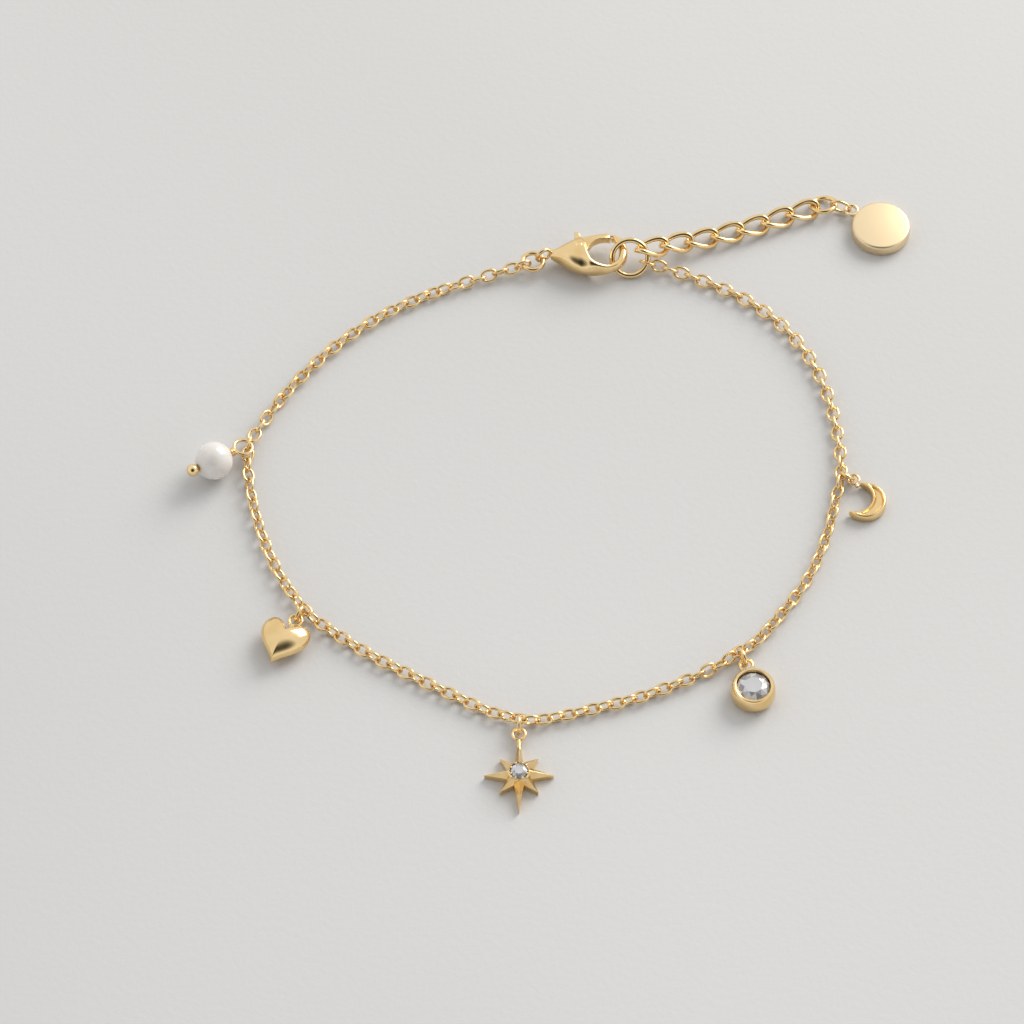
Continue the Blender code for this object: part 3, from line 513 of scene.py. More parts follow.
POLISHED = Gold("polished_gold", "gold")
SATIN = Gold("satin_gold", "satin_gold", dark=(0.76, 0.60, 0.37), light=(0.83, 0.67, 0.44),
             gloss=(0.34, 0.44), grain=14000.0, relief=0.16)
NACRE = Pearl("pearl_nacre", "pearl")
CLEAR = CutStone("clear_stone", "stone")


def hand_in_copy(link: bpy.types.Object, matrix: Matrix, node: str) -> None:
    """Hand in a copy of a finished link at the place of a CAD link."""
    hand_in(join("fine_" + node, [copy_mesh(link, matrix)]), POLISHED, (node,))


# Rings, links and the chain

@dataclass
class WireRing:
    """A round or oval wire ring, fine enough for a close look."""

    major_segments: int = 48
    minor_segments: int = 12
    fullness: float = 2.3

    def build(self, name: str, length: float, width: float, wire: float,
              twist: float = 0.0) -> bpy.types.Object:
        """Model a ring flat at the origin, its long side along X.

        Args:
            name: Name of the piece.
            length: Outer length.
            width: Outer width.
            wire: Wire diameter.
            twist: Turn of each end about X, in radians.

        Returns:
            The ring's object.
        """
        deselect_all()
        segments = self.major_segments
        bpy.ops.mesh.primitive_torus_add(major_segments=segments, minor_segments=self.minor_segments,
                                         major_radius=(width - wire) / 2, minor_radius=wire / 2)
        ring = take_new(name)
        settle(ring, Matrix.Rotation(math.pi / segments, 4, "Z"))
        if length > 1.02 * width:
            self.draw_out(ring, length - wire, width - wire)
        if twist:
            self.twist_ends(ring, length, wire, twist)
        smooth(ring, 60)
        return ring

    def draw_out(self, ring: bpy.types.Object, length: float, width: float) -> None:
        """Draw a round ring out into a full oval, with its wire still round.

        Args:
            ring: The round ring, in its own plane.
            length: Length of the oval's centre line.
            width: Width of the oval's centre line.
        """
        step = 0.01
        for vertex in ring.data.vertices:
            turn = math.atan2(vertex.co.y, vertex.co.x)
            out = math.hypot(vertex.co.x, vertex.co.y) - width / 2
            before, after = (self.oval_point(turn + s, length, width) for s in (-step, step))
            normal = Vector((after.y - before.y, before.x - after.x, 0)).normalized()
            vertex.co = self.oval_point(turn, length, width) + normal * out + UP * vertex.co.z

    def oval_point(self, turn: float, length: float, width: float) -> Vector:
        """Give a point of an oval's centre line at a turn in radians."""
        x, y = (math.copysign(abs(s) ** (2 / self.fullness), s) for s in (math.cos(turn), math.sin(turn)))
        return Vector((length / 2 * x, width / 2 * y, 0))

    @staticmethod
    def twist_ends(ring: bpy.types.Object, length: float, wire: float, twist: float) -> None:
        """Turn each cross-section about X by its share of the twist."""
        half = (length - wire) / 2
        for vertex in ring.data.vertices:
            vertex.co = Matrix.Rotation(twist * vertex.co.x / half, 3, "X") @ vertex.co


@dataclass(frozen=True)
class Stretch:
    """One run of chain between two links of the part."""

    name: str
    node: str
    first_link: str
    last_link: str
    middle_roll: float
    points: tuple[Point, ...]


@dataclass
class CableChain:
    """The fine cable chain, link by link along the route of the part's stand-in tubes."""

    link_length: float = 1.82 * MM
    link_width: float = 1.36 * MM
    link_wire: float = 0.30 * MM
    route_lift: float = 1.36 / 1.28
    greatest_pitch: float = 1.205 * MM
    flat_drop: float = 0.10 * MM
    blend_share: float = 0.28
    jitter: float = 6.0
    fineness: int = 24
    search_step: float = 0.02 * MM
    search_reach: float = 3 * MM
    search_miss: float = 0.05 * MM
    stretches: tuple[Stretch, ...] = (
        Stretch("links_clasp_to_pearl", "chain_clasp_pearl", "link_clasp_side", "link_pearl", 0.0,
                ((1.08, 28.48, 0.98), (-4.95, 26.51, 0.66), (-9.28, 24.69, 0.66), (-13.39, 22.27, 0.66),
                 (-17.03, 19.27, 0.66), (-19.91, 16.17, 0.66), (-22.51, 12.68, 0.66), (-24.45, 9.40, 0.72))),
        Stretch("links_pearl_to_heart", "chain_pearl_heart", "link_pearl_lower", "link_heart", 42.0,
                ((-25.40, 7.30, 0.80), (-25.53, 5.20, 0.66), (-25.23, 2.37, 0.66), (-24.46, -1.19, 0.66),
                 (-23.31, -4.83, 0.66), (-21.84, -8.11, 0.66))),
        Stretch("links_heart_to_star", "chain_heart_star", "link_heart", "link_star", 0.0,
                ((-19.65, -11.56, 0.80), (-17.69, -13.36, 0.66), (-13.19, -16.57, 0.66),
                 (-8.83, -19.10, 0.66), (-4.40, -21.51, 0.66), (-2.06, -22.70, 0.68))),
        Stretch("links_star_to_drop", "chain_star_drop", "link_star", "link_drop", 0.0,
                ((0.65, -23.57, 0.80), (2.71, -23.57, 0.66), (7.68, -22.38, 0.66), (12.38, -20.96, 0.66),
                 (16.92, -18.99, 0.66), (19.60, -17.50, 0.68))),
        Stretch("links_drop_to_moon", "chain_drop_moon", "link_drop", "link_moon", 40.0,
                ((21.40, -16.24, 0.80), (23.13, -14.91, 0.66), (26.18, -11.02, 0.66), (28.48, -7.32, 0.66),
                 (30.17, -2.90, 0.66), (31.10, 1.00, 0.66))),
        Stretch("links_moon_to_end_ring", "chain_moon_ring", "link_moon", "link_ring_side", 20.0,
                ((31.75, 4.05, 0.76), (31.53, 8.87, 0.66), (30.63, 13.68, 0.66), (29.01, 17.84, 0.66),
                 (26.19, 21.91, 0.66), (22.33, 25.05, 0.66), (17.83, 27.30, 0.70), (15.60, 28.05, 0.90))),
    )
    held_links: tuple[str, ...] = ("link_clasp_side", "link_pearl", "link_pearl_lower", "link_heart",
                                   "link_star", "link_drop", "link_moon", "link_ring_side")

    def dense_route(self) -> list[list[Vector]]:
        """Lay the dense line of every stretch, from link centre to link centre.

        Returns:
            One line of points for each stretch.
        """
        end = Loop.measure("link_ring_side").matrix.translation
        chosen = [lay((x, y, z * self.route_lift))
                  for stretch in self.stretches for x, y, z in stretch.points] + [end]
        dense = catmull_rom(chosen, self.fineness)
        lines = []
        first = 0
        for stretch in self.stretches:
            last = first + len(stretch.points) * self.fineness
            lines.append(dense[first:last + 1])
            first = last
        return lines

    @staticmethod
    def roll_of(node: str, run: Vector) -> float:
        """Give a link's roll about the run in degrees, 0 where it lies flat."""
        z = Loop.measure(node).matrix.to_3x3().col[2]
        side = UP.cross(run).normalized()
        top = run.cross(side)
        return math.degrees(math.atan2(z.dot(side), z.dot(top)))

    @staticmethod
    def nearest_roll(roll: float, target: float) -> float:
        """Give the same link plane as roll, as close to the target as half turns allow."""
        return roll - 180 * round((roll - target) / 180)

    def build(self) -> None:
        """Model one link, copy it along every stretch, and remake the links that hold something."""
        wire = WireRing(major_segments=26, minor_segments=10)
        link = wire.build("fine_link", self.link_length, self.link_width, self.link_wire)
        for number, (stretch, line) in enumerate(zip(self.stretches, self.dense_route())):
            chance = random.Random(50 + number)
            links = self.lay_links(link, stretch, line, chance)
            hand_in(join(stretch.name, links), POLISHED, (stretch.node,))
        for node in self.held_links:
            hand_in_copy(link, Loop.measure(node).matrix, node)
        remove(link)

    def lay_links(self, link: bpy.types.Object, stretch: Stretch, line: list[Vector],
                  chance: random.Random) -> list[bpy.types.Object]:
        """Copy the link along one stretch.

        Args:
            link: The modelled link.
            stretch: The stretch to fill.
            line: Its dense line.
            chance: Source of the small unevenness.

        Returns:
            The copies.
        """
        start = 0.0
        first = Loop.measure(stretch.first_link).matrix.translation
        while ((point_along(line, start)[0] - first).xy.length > self.search_miss
               and start < self.search_reach):
            start += self.search_step
        run = sum((b - a).length for a, b in zip(line, line[1:])) - start
        steps = math.ceil(run / self.greatest_pitch)
        pitch = run / steps
        begin = self.roll_of(stretch.first_link, point_along(line, start)[1])
        end = self.roll_of(stretch.last_link, point_along(line, start + run)[1]) - 90 * steps
        begin = self.nearest_roll(begin, stretch.middle_roll)
        end = self.nearest_roll(end, stretch.middle_roll)
        copies = []
        for i in range(1, steps):
            place, along = point_along(line, start + pitch * i)
            near_start = max(0.0, 1 - (i / steps) / self.blend_share)
            near_end = max(0.0, 1 - (1 - i / steps) / self.blend_share)
            roll = (stretch.middle_roll + (begin - stretch.middle_roll) * near_start
                    + (end - stretch.middle_roll) * near_end)
            if 2 < i < steps - 2:
                roll += chance.uniform(-self.jitter, self.jitter)
            turn = math.radians(roll + 90 * i)
            flatness = abs(math.cos(turn))
            place.z -= self.flat_drop * flatness * min(1, i / 3, (steps - i) / 3)
            side = UP.cross(along).normalized()
            normal = along.cross(side) * math.cos(turn) + side * math.sin(turn)
            copies.append(copy_mesh(link, frame_at(place, along, normal)))
        return copies


@dataclass
class Rings:
    """The round rings: jump rings, clasp ring, end ring and the extender's ring."""

    nodes: tuple[str, ...] = ("heart_jump_ring", "star_jump_ring", "drop_jump_ring", "moon_jump_ring",
                              "clasp_ring", "end_ring", "extender_ring")

    def build(self) -> None:
        """Remake each ring as a fine torus in its place."""
        for node in self.nodes:
            loop = Loop.measure(node)
            ring = WireRing(64, 16).build("fine_" + node, loop.width, loop.width, loop.wire)
            settle(ring, loop.matrix)
            hand_in(ring, POLISHED, (node,))


@dataclass
class Extender:
    """The curb links of the extender and the small link that holds the tag."""

    curb_length: float = 3.83 * MM
    curb_width: float = 2.36 * MM
    curb_wire: float = 0.54 * MM
    curb_twist: float = math.radians(46)
    count: int = 7

    def build(self) -> None:
        """Model one curb link, copy it to each link's place, and remake the tag's link."""
        curb = WireRing(56, 14).build("curb_link", self.curb_length, self.curb_width, self.curb_wire,
                                      self.curb_twist)
        for i in range(1, self.count + 1):
            node = f"extender_link_{i}"
            hand_in_copy(curb, self.curb_frame(node), node)
        remove(curb)
        loop = Loop.measure("extender_tag_link")
        small = WireRing(40, 12).build("fine_extender_tag_link", loop.length, loop.width, loop.wire)
        settle(small, loop.matrix)
        hand_in(small, POLISHED, ("extender_tag_link",))

    @staticmethod
    def curb_frame(node: str) -> Matrix:
        """Give the frame of a curb link, whose normal stands as near upright as its run lets it."""
        measured = Loop.measure(node).matrix
        run = measured.to_3x3().col[0]
        if run.x < 0:
            run = -run
        return frame_at(measured.translation, run, UP)


# Shapes made from rings and profiles

def skin_rings(name: str, rings: list[list[Vector]],
               caps: tuple[list[tuple[int, ...]], list[tuple[int, ...]]]) -> bpy.types.Object:
    """Join equal rings of points with quads, as bridging them would.

    Args:
        name: Name of the piece.
        rings: Rings of points, from one end to the other.
        caps: Faces that close the first and the last ring, as indices in a ring.

    Returns:
        The new object.
    """
    count = len(rings[0])
    points = [tuple(p) for ring in rings for p in ring]
    faces = [(low + i, low + (i + 1) % count, low + count + (i + 1) % count, low + count + i)
             for low in range(0, (len(rings) - 1) * count, count) for i in range(count)]
    faces += [tuple(reversed(face)) for face in caps[0]]
    last = (len(rings) - 1) * count
    faces += [tuple(last + i for i in face) for face in caps[1]]
    return add_mesh(name, points, [], faces)


def turn_profile(name: str, profile: list[tuple[float, float]], steps: int = 96,
                 closed: bool = False) -> bpy.types.Object:
    """Turn a profile about Z with the Screw modifier.

    Args:
        name: Name of the piece.
        profile: Points as radius and height.
        steps: Number of steps round.
        closed: Whether the profile is a closed loop.

    Returns:
        The turned object.
    """
    count = len(profile)
    edges = [(i, i + 1) for i in range(count - 1)] + ([(count - 1, 0)] if closed else [])
    piece = add_mesh(name, [(r, 0, z) for r, z in profile], edges, [])
    apply_modifier(piece, "SCREW", steps=steps, render_steps=steps, use_merge_vertices=True,
                   merge_threshold=1e-7, use_smooth_shade=True)
    return piece


def round_profile(points: list[tuple[float, float]], fineness: int = 5) -> list[tuple[float, float]]:
    """Smooth a profile through its points."""
    return [(max(p.x, 0.0), p.y) for p in catmull_rom([Vector((r, z, 0)) for r, z in points], fineness)]


def flat_ring(name: str, centre: Vector, diameter: float, wire: float) -> bpy.types.Object:
    """Add a round wire ring that lies level at a place."""
    deselect_all()
    bpy.ops.mesh.primitive_torus_add(location=centre, major_segments=56, minor_segments=16,
                                     major_radius=(diameter - wire) / 2, minor_radius=wire / 2)
    return take_settled(name)


def rod(name: str, start: Vector, end: Vector, diameter: float, sides: int = 24) -> bpy.types.Object:
    """Add a round rod from one point to another."""
    deselect_all()
    run = end - start
    turn = run.to_track_quat("Z", "Y").to_euler()
    bpy.ops.mesh.primitive_cylinder_add(vertices=sides, radius=diameter / 2, depth=run.length,
                                        location=(start + end) / 2, rotation=turn)
    return take_settled(name)


def ball(name: str, centre: Vector, diameter: float, segments: int = 32) -> bpy.types.Object:
    """Add a round ball at a place."""
    deselect_all()
    bpy.ops.mesh.primitive_uv_sphere_add(segments=segments, ring_count=segments // 2,
                                         radius=diameter / 2, location=centre)
    return take_settled(name)


def cut(piece: bpy.types.Object, tool: bpy.types.Object) -> None:
    """Cut one closed shape out of another and delete the tool."""
    apply_modifier(piece, "BOOLEAN", operation="DIFFERENCE", object=tool)
    remove(tool)


def assemble(name: str, made: list[bpy.types.Object], extras: list[bpy.types.Object], matrix: Matrix,
             finish: Finish, node: str) -> None:
    """Smooth the small pieces, join them to what is made, and hand the whole in.

    Args:
        name: Name of the whole piece.
        made: Pieces that are smooth already.
        extras: Small pieces to smooth and join.
        matrix: The whole piece's place.
        finish: Its finish.
        node: CAD node that it stands for.
    """
    for piece in extras:
        smooth(piece)
    whole = join(name, made + extras)
    settle(whole, matrix)
    hand_in(whole, finish, (node,))


# Charms

@dataclass(frozen=True)
class Spot:
    """Where a charm lies and how it is turned."""

    layout: Point
    heading: float

    def matrix(self) -> Matrix:
        """Give the charm's frame in the part."""
        return Matrix.Translation(lay(self.layout)) @ Matrix.Rotation(math.radians(self.heading), 4, "Z")


@dataclass
class SolderedLoop:
    """The small ring on top of a charm, with the short stem that carries it."""

    centre: Vector
    foot: Vector
    diameter: float = 1.52 * MM
    wire: float = 0.32 * MM
    stem: float = 0.42 * MM

    def pieces(self) -> list[bpy.types.Object]:
        """Model the ring and its stem in the charm's frame."""
        start = self.centre + (self.foot - self.centre).normalized() * (self.diameter - self.wire) / 2
        return [flat_ring("charm_loop", self.centre, self.diameter, self.wire),
                rod("charm_stem", start, self.foot, self.stem)]


@dataclass
class Heart:
    """The puffed heart."""

    width: float = 4.75 * MM
    height: float = 4.75 * MM
    thickness: float = 2.40 * MM
    side_fullness: float = 2.35
    flat_foot: float = 0.018 * MM
    loop: SolderedLoop = field(default_factory=lambda: SolderedLoop(
        Vector((0.26, 2.36, 1.20)) * MM, Vector((0.104, 0.5, 1.20)) * MM))
    spot: Spot = Spot((-21.6106, -15.0896, 0.0), -22.8)

    def plan(self, share: float, t: float) -> Vector:
        """Give a point of the heart's outline.

        Args:
            share: 1 at the rim, 0 in the middle, where the outline is rounder.
            t: Turn from the cleft, in radians.

        Returns:
            The point in plan.
        """
        x = math.copysign(abs(math.sin(t)) ** self.side_fullness, math.sin(t))
        y = (13 * math.cos(t) - 5 * math.cos(2 * t) - 2 * math.cos(3 * t) - math.cos(4 * t)) / 29
        plain = Vector((x * self.width / 2, y * self.height, 0))
        disc = Vector((0.42 * self.width * math.sin(t), 0.42 * self.height * math.cos(t), 0))
        return plain.lerp(disc, 0.75 * (1 - share)) * share

    def build(self) -> None:
        """Press a ball into the heart's form and add its loop."""
        deselect_all()
        bpy.ops.mesh.primitive_uv_sphere_add(segments=96, ring_count=48, radius=1.0)
        heart = take_new("puffed_heart")
        half = self.thickness / 2
        for vertex in heart.data.vertices:
            share = math.hypot(vertex.co.x, vertex.co.y)
            flat = self.plan(share, math.atan2(vertex.co.x, vertex.co.y)) if share > 1e-6 else Vector()
            lift = max(half * (1 + vertex.co.z) - self.flat_foot, 0)
            vertex.co = flat + UP * lift
        smooth(heart, 50)
        assemble("puffed_heart", [heart], self.loop.pieces(), self.spot.matrix(), POLISHED, "heart_charm")


@dataclass
class Star:
    """The eight-rayed star with its stone seat and small grains."""

    long_ray: float = 3.80 * MM
    side_ray: float = 3.25 * MM
    short_ray: float = 2.56 * MM
    valley: float = 1.22 * MM
    boss: float = 1.05 * MM
    thickness: float = 1.55 * MM
    wall: float = 0.62 * MM
    stone: float = 1.60 * MM
    grains: int = 8
    grain: float = 0.24 * MM
    loop: SolderedLoop = field(default_factory=lambda: SolderedLoop(
        Vector((0, 4.36, 0.744)) * MM, Vector((0, 2.66, 0.644)) * MM))
    spot: Spot = Spot((0.65, -29.5553, 0.0), 0.0)

    def ring(self, radii: Callable[[int], float], heights: Callable[[int], float]) -> list[Vector]:
        """Lay 16 points round the star, rays at even numbers and valleys at odd ones."""
        turns = [math.pi / 2 + i * math.pi / 8 for i in range(16)]
        return [Vector((radii(i) * math.cos(a), radii(i) * math.sin(a), heights(i)))
                for i, a in enumerate(turns)]

    def ray(self, i: int) -> float:
        """Give the reach of the point with this number."""
        if i % 2:
            return self.valley
        return self.short_ray if i % 4 else (self.side_ray if i % 8 else self.long_ray)

    def build(self) -> None:
        """Skin the rays, soften their ridges and add the loop and the grains."""
        top = self.thickness
        seat = self.stone / 2 + 0.06 * MM
        crest = top - 0.06 * MM
        rings = [
            self.ring(self.ray, lambda i: 0.0),
            self.ring(self.ray, lambda i: self.wall + (0.08 * MM if i % 2 else 0)),
            self.ring(lambda i: self.boss, lambda i: crest - (0.12 * MM if i % 2 else 0)),
            self.ring(lambda i: seat + 0.05 * MM, lambda i: top),
            self.ring(lambda i: seat, lambda i: top - 0.154 * MM),
            self.ring(lambda i: seat, lambda i: top - 0.512 * MM),
            self.ring(lambda i: 0.45 * seat, lambda i: top - 0.992 * MM),
        ]
        fan = [(0, i, i + 1) for i in range(1, 15)]
        star = skin_rings("ray_star", rings, ([], fan))
        self.close_base(star)
        smooth(star, 20)
        apply_modifier(star, "BEVEL", width=0.07 * MM, segments=4, limit_method="ANGLE",
                       angle_limit=math.radians(14))
        smooth(star, 35)
        extras = self.loop.pieces() + self.grain_pieces(top, seat)
        assemble("ray_star", [star], extras, self.spot.matrix(), POLISHED, "star_charm")

    @staticmethod
    def close_base(star: bpy.types.Object) -> None:
        """Close the star's flat underside with faces that meet in its middle."""
        edit_vertices(star, lambda co: co.z < 1e-7)
        bpy.ops.mesh.extrude_region()
        bpy.ops.mesh.merge(type="CENTER")
        end_edit()

    def grain_pieces(self, top: float, seat: float) -> list[bpy.types.Object]:
        """Add the small grains of metal that hold the stone."""
        grains = []
        reach = seat - 0.02 * MM
        for i in range(self.grains):
            a = 2 * math.pi * (i + 0.5) / self.grains
            centre = Vector((reach * math.cos(a), reach * math.sin(a), top - 0.01 * MM))
            grains.append(ball(f"grain_{i}", centre, self.grain, 16))
        return grains


@dataclass
class Drop:
    """The round bezel of the drop."""

    diameter: float = 4.24 * MM
    rim: float = 3.78 * MM
    height: float = 1.95 * MM
    stone: float = 3.10 * MM
    loop: SolderedLoop = field(default_factory=lambda: SolderedLoop(
        Vector((0, 2.84, 0.975)) * MM, Vector((0, 1.908, 0.975)) * MM))
    spot: Spot = Spot((22.6086, -20.5739, 0.0), 11.8)

    def build(self) -> None:
        """Turn the bezel's wall and seat, and add the loop."""
        outer, rim, top = self.diameter / 2, self.rim / 2, self.height
        inner = self.stone / 2 + 0.06 * MM
        wall = round_profile([(0.66 * outer, 0), (0.88 * outer, 0.10 * top), (0.98 * outer, 0.27 * top),
                              (outer, 0.46 * top), (0.985 * outer, 0.68 * top),
                              (0.5 * (outer + rim), 0.86 * top), (rim, 0.965 * top), (rim - 0.07 * MM, top)])
        lip = round_profile([(inner + 0.07 * MM, top), (inner + 0.02 * MM, 0.985 * top),
                             (inner, 0.95 * top)], 4)
        profile = [(0, 0)] + wall + lip + [(inner, 0.66 * top), (0.52 * inner, 0.28 * top), (0, 0.12 * top)]
        bezel = turn_profile("drop_setting", profile)
        smooth(bezel, 40)
        assemble("drop_setting", [bezel], self.loop.pieces(), self.spot.matrix(), POLISHED, "drop_bezel")


@dataclass
class Gem:
    """A brilliant-cut stone whose facets carry painted light: each gets a tone that stands in for the light
    that comes back out of it.
    """

    node: str
    name: str
    seed: int
    # Painted light of the flat top facet, and the slope past which a facet counts as the top.
    table_painted_light: float = 0.62
    table_slope: float = 0.98

    def build(self) -> None:
        """Copy the stone's facets and paint each of them with its tone of light, the same for facets that
        face alike.
        """
        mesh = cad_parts[self.node].data.copy()
        gem = bpy.data.objects.new(self.name, mesh)
        bpy.context.collection.objects.link(gem)
        chance = random.Random(self.seed)
        painted_tones: dict[tuple[float, ...], float] = {}
        # Each facet's painted light: a random tone per facing, a fixed one for the table.
        store = mesh.attributes.new(FACET_PAINTED_LIGHT, "FLOAT", "FACE")
        for polygon, item in zip(mesh.polygons, store.data):
            facing = tuple(round(c, 2) for c in polygon.normal)
            painted_tone = painted_tones.setdefault(facing, chance.random())
            item.value = self.table_painted_light if polygon.normal.z > self.table_slope else painted_tone
        hand_in(gem, CLEAR, (self.node,))


@dataclass
class Moon:
    """The crescent, with a rounded rim and a shallow trough in its face."""

    outer: float = 2.07 * MM
    inner: float = 1.66 * MM
    offset: float = 1.03 * MM
    opening: float = math.radians(137.4)
    blunt: float = math.radians(7)
    thickness: float = 1.00 * MM
    points: int = 56
    levels: tuple[tuple[float, float], ...] = (
        (-0.20, 0.0), (-0.10, 0.04), (-0.03, 0.13), (0.0, 0.30), (0.0, 0.62), (-0.02, 0.78), (-0.06, 0.90),
        (-0.12, 0.97), (-0.19, 1.00), (-0.26, 0.985), (-0.32, 0.90), (-0.37, 0.80), (-0.44, 0.74))
    loop: SolderedLoop = field(default_factory=lambda: SolderedLoop(
        Vector((0, 2.62, 0.72)) * MM, Vector((0.05, 1.75, 0.62)) * MM, 1.34 * MM, 0.28 * MM, 0.40 * MM))
    spot: Spot = Spot((33.9284, 0.8434, 0.0), 22.4)

    def outline(self, grow: float) -> list[Vector]:
        """Lay the crescent's outline, horn to horn outside and back inside.

        Args:
            grow: How far the outline stands out, in metres.

        Returns:
            Twice self.points points.
        """
        outer, inner = self.outer + grow, self.inner - grow
        half = (outer ** 2 - inner ** 2 + self.offset ** 2) / (2 * self.offset)
        outer_gap = math.acos(half / outer)
        inner_gap = math.acos((half - self.offset) / inner)
        made = []
        for radius, middle, gap, way in ((outer, 0, outer_gap, 1), (inner, self.offset, inner_gap, -1)):
            for i in range(self.points):
                a = gap + self.blunt + 2 * (math.pi - gap - self.blunt) * i / (self.points - 1)
                made.append(Vector((middle + radius * math.cos(a), way * radius * math.sin(a), 0)))
        turn = Matrix.Rotation(self.opening, 3, "Z")
        return [turn @ p for p in made]

    def build(self) -> None:
        """Skin the crescent from its outlines and add its loop."""
        rings = [[p + UP * share * self.thickness for p in self.outline(grow * MM)]
                 for grow, share in self.levels]
        last = 2 * self.points - 1
        strip = [(i, i + 1, last - i - 1, last - i) for i in range(self.points - 1)]
        moon = skin_rings("crescent_moon", rings, (strip, strip))
        smooth(moon, 40)
        assemble("crescent_moon", [moon], self.loop.pieces(), self.spot.matrix(), POLISHED, "moon_charm")


@dataclass
class PearlDrop:
    """The drilled pearl and its headpin, both along X in their own frame."""

    diameter: float = 3.70 * MM
    bore: float = 0.62 * MM
    pin: float = 0.44 * MM
    ball: float = 1.22 * MM
    eye: float = 2.10 * MM
    eye_wire: float = 0.34 * MM
    clearance: float = 0.10 * MM
    neck: float = 0.45 * MM
    coils: int = 2
    coil: float = 0.86 * MM
    coil_lean: float = math.radians(84)
    centre: Point = (-28.7404, 4.6842, 1.86)
    along: Point = (0.79465, 0.57734, -0.18765)

    def matrix(self) -> Matrix:
        """Give the pearl's frame in the part."""
        return frame_at(lay(self.centre), Vector(self.along), UP)

    def build(self) -> None:
        """Model the pearl and its pin."""
        self.build_pearl()
        self.build_pin()

    def build_pearl(self) -> None:
        """Turn the pearl round its bore, with softly rounded drill holes."""
        radius, hole = self.diameter / 2, self.bore / 2
        start = math.asin((hole + 0.06 * MM) / radius)
        turns = [start + (math.pi - 2 * start) * i / 48 for i in range(49)]
        skin = [(radius * math.sin(a), radius * math.cos(a)) for a in turns]
        mouth = radius * math.cos(start) - 0.05 * MM
        profile = skin + [(hole, -mouth), (hole, mouth)]
        pearl = turn_profile("drilled_pearl", profile, 96, closed=True)
        smooth(pearl, 60)
        settle(pearl, self.matrix() @ Matrix.Rotation(math.pi / 2, 4, "Y"))
        hand_in(pearl, NACRE, ("pearl_bead",))

    def build_pin(self) -> None:
        """Model the headpin: ball end, shaft, coiled neck and eye."""
        radius = self.diameter / 2
        reach = radius + self.clearance + self.neck + self.eye / 2
        ball_at = Vector((-(radius + self.clearance + self.ball / 2 - 0.12 * MM), 0, 0))
        shaft_end = Vector((reach - (self.eye - self.eye_wire) / 2, 0, 0))
        pieces = [ball("pin_ball", ball_at, self.ball), rod("pin_shaft", ball_at, shaft_end, self.pin),
                  flat_ring("pin_eye", Vector((reach, 0, 0)), self.eye, self.eye_wire)]
        wire = self.neck / self.coils
        lean = Matrix.Rotation(self.coil_lean, 4, "Y")
        for i in range(self.coils):
            coil = flat_ring(f"pin_coil_{i}", Vector(), self.coil, wire)
            settle(coil, Matrix.Translation((radius + self.clearance + wire * (i + 0.5), 0, 0)) @ lean)
            pieces.append(coil)
        assemble("pearl_pin", [], pieces, self.matrix(), POLISHED, "pearl_headpin")


@dataclass
class Tag:
    """The plain round tag at the extender's end."""

    diameter: float = 5.80 * MM
    thickness: float = 1.30 * MM
    edge: float = 0.26 * MM
    loop: SolderedLoop = field(default_factory=lambda: SolderedLoop(
        Vector((0, 3.60, 0.702)) * MM, Vector((0, 2.61, 0.65)) * MM, 1.60 * MM, 0.38 * MM, 0.42 * MM))
    spot: Spot = Spot((36.7529, 33.2571, 0.0), 52.0)

    def build(self) -> None:
        """Bevel a disc and add its loop."""
        deselect_all()
        bpy.ops.mesh.primitive_cylinder_add(vertices=128, radius=self.diameter / 2, depth=self.thickness,
                                            location=(0, 0, self.thickness / 2))
        tag = take_settled("round_tag")
        edit_faces(tag, lambda f: abs(f.normal.z) > 0.9)
        bpy.ops.mesh.bevel(offset=self.edge, segments=6, profile=0.5, affect="EDGES")
        end_edit()
        smooth(tag, 30)
        assemble("round_tag", [tag], self.loop.pieces(), self.spot.matrix(), SATIN, "extender_tag")


# Lobster clasp

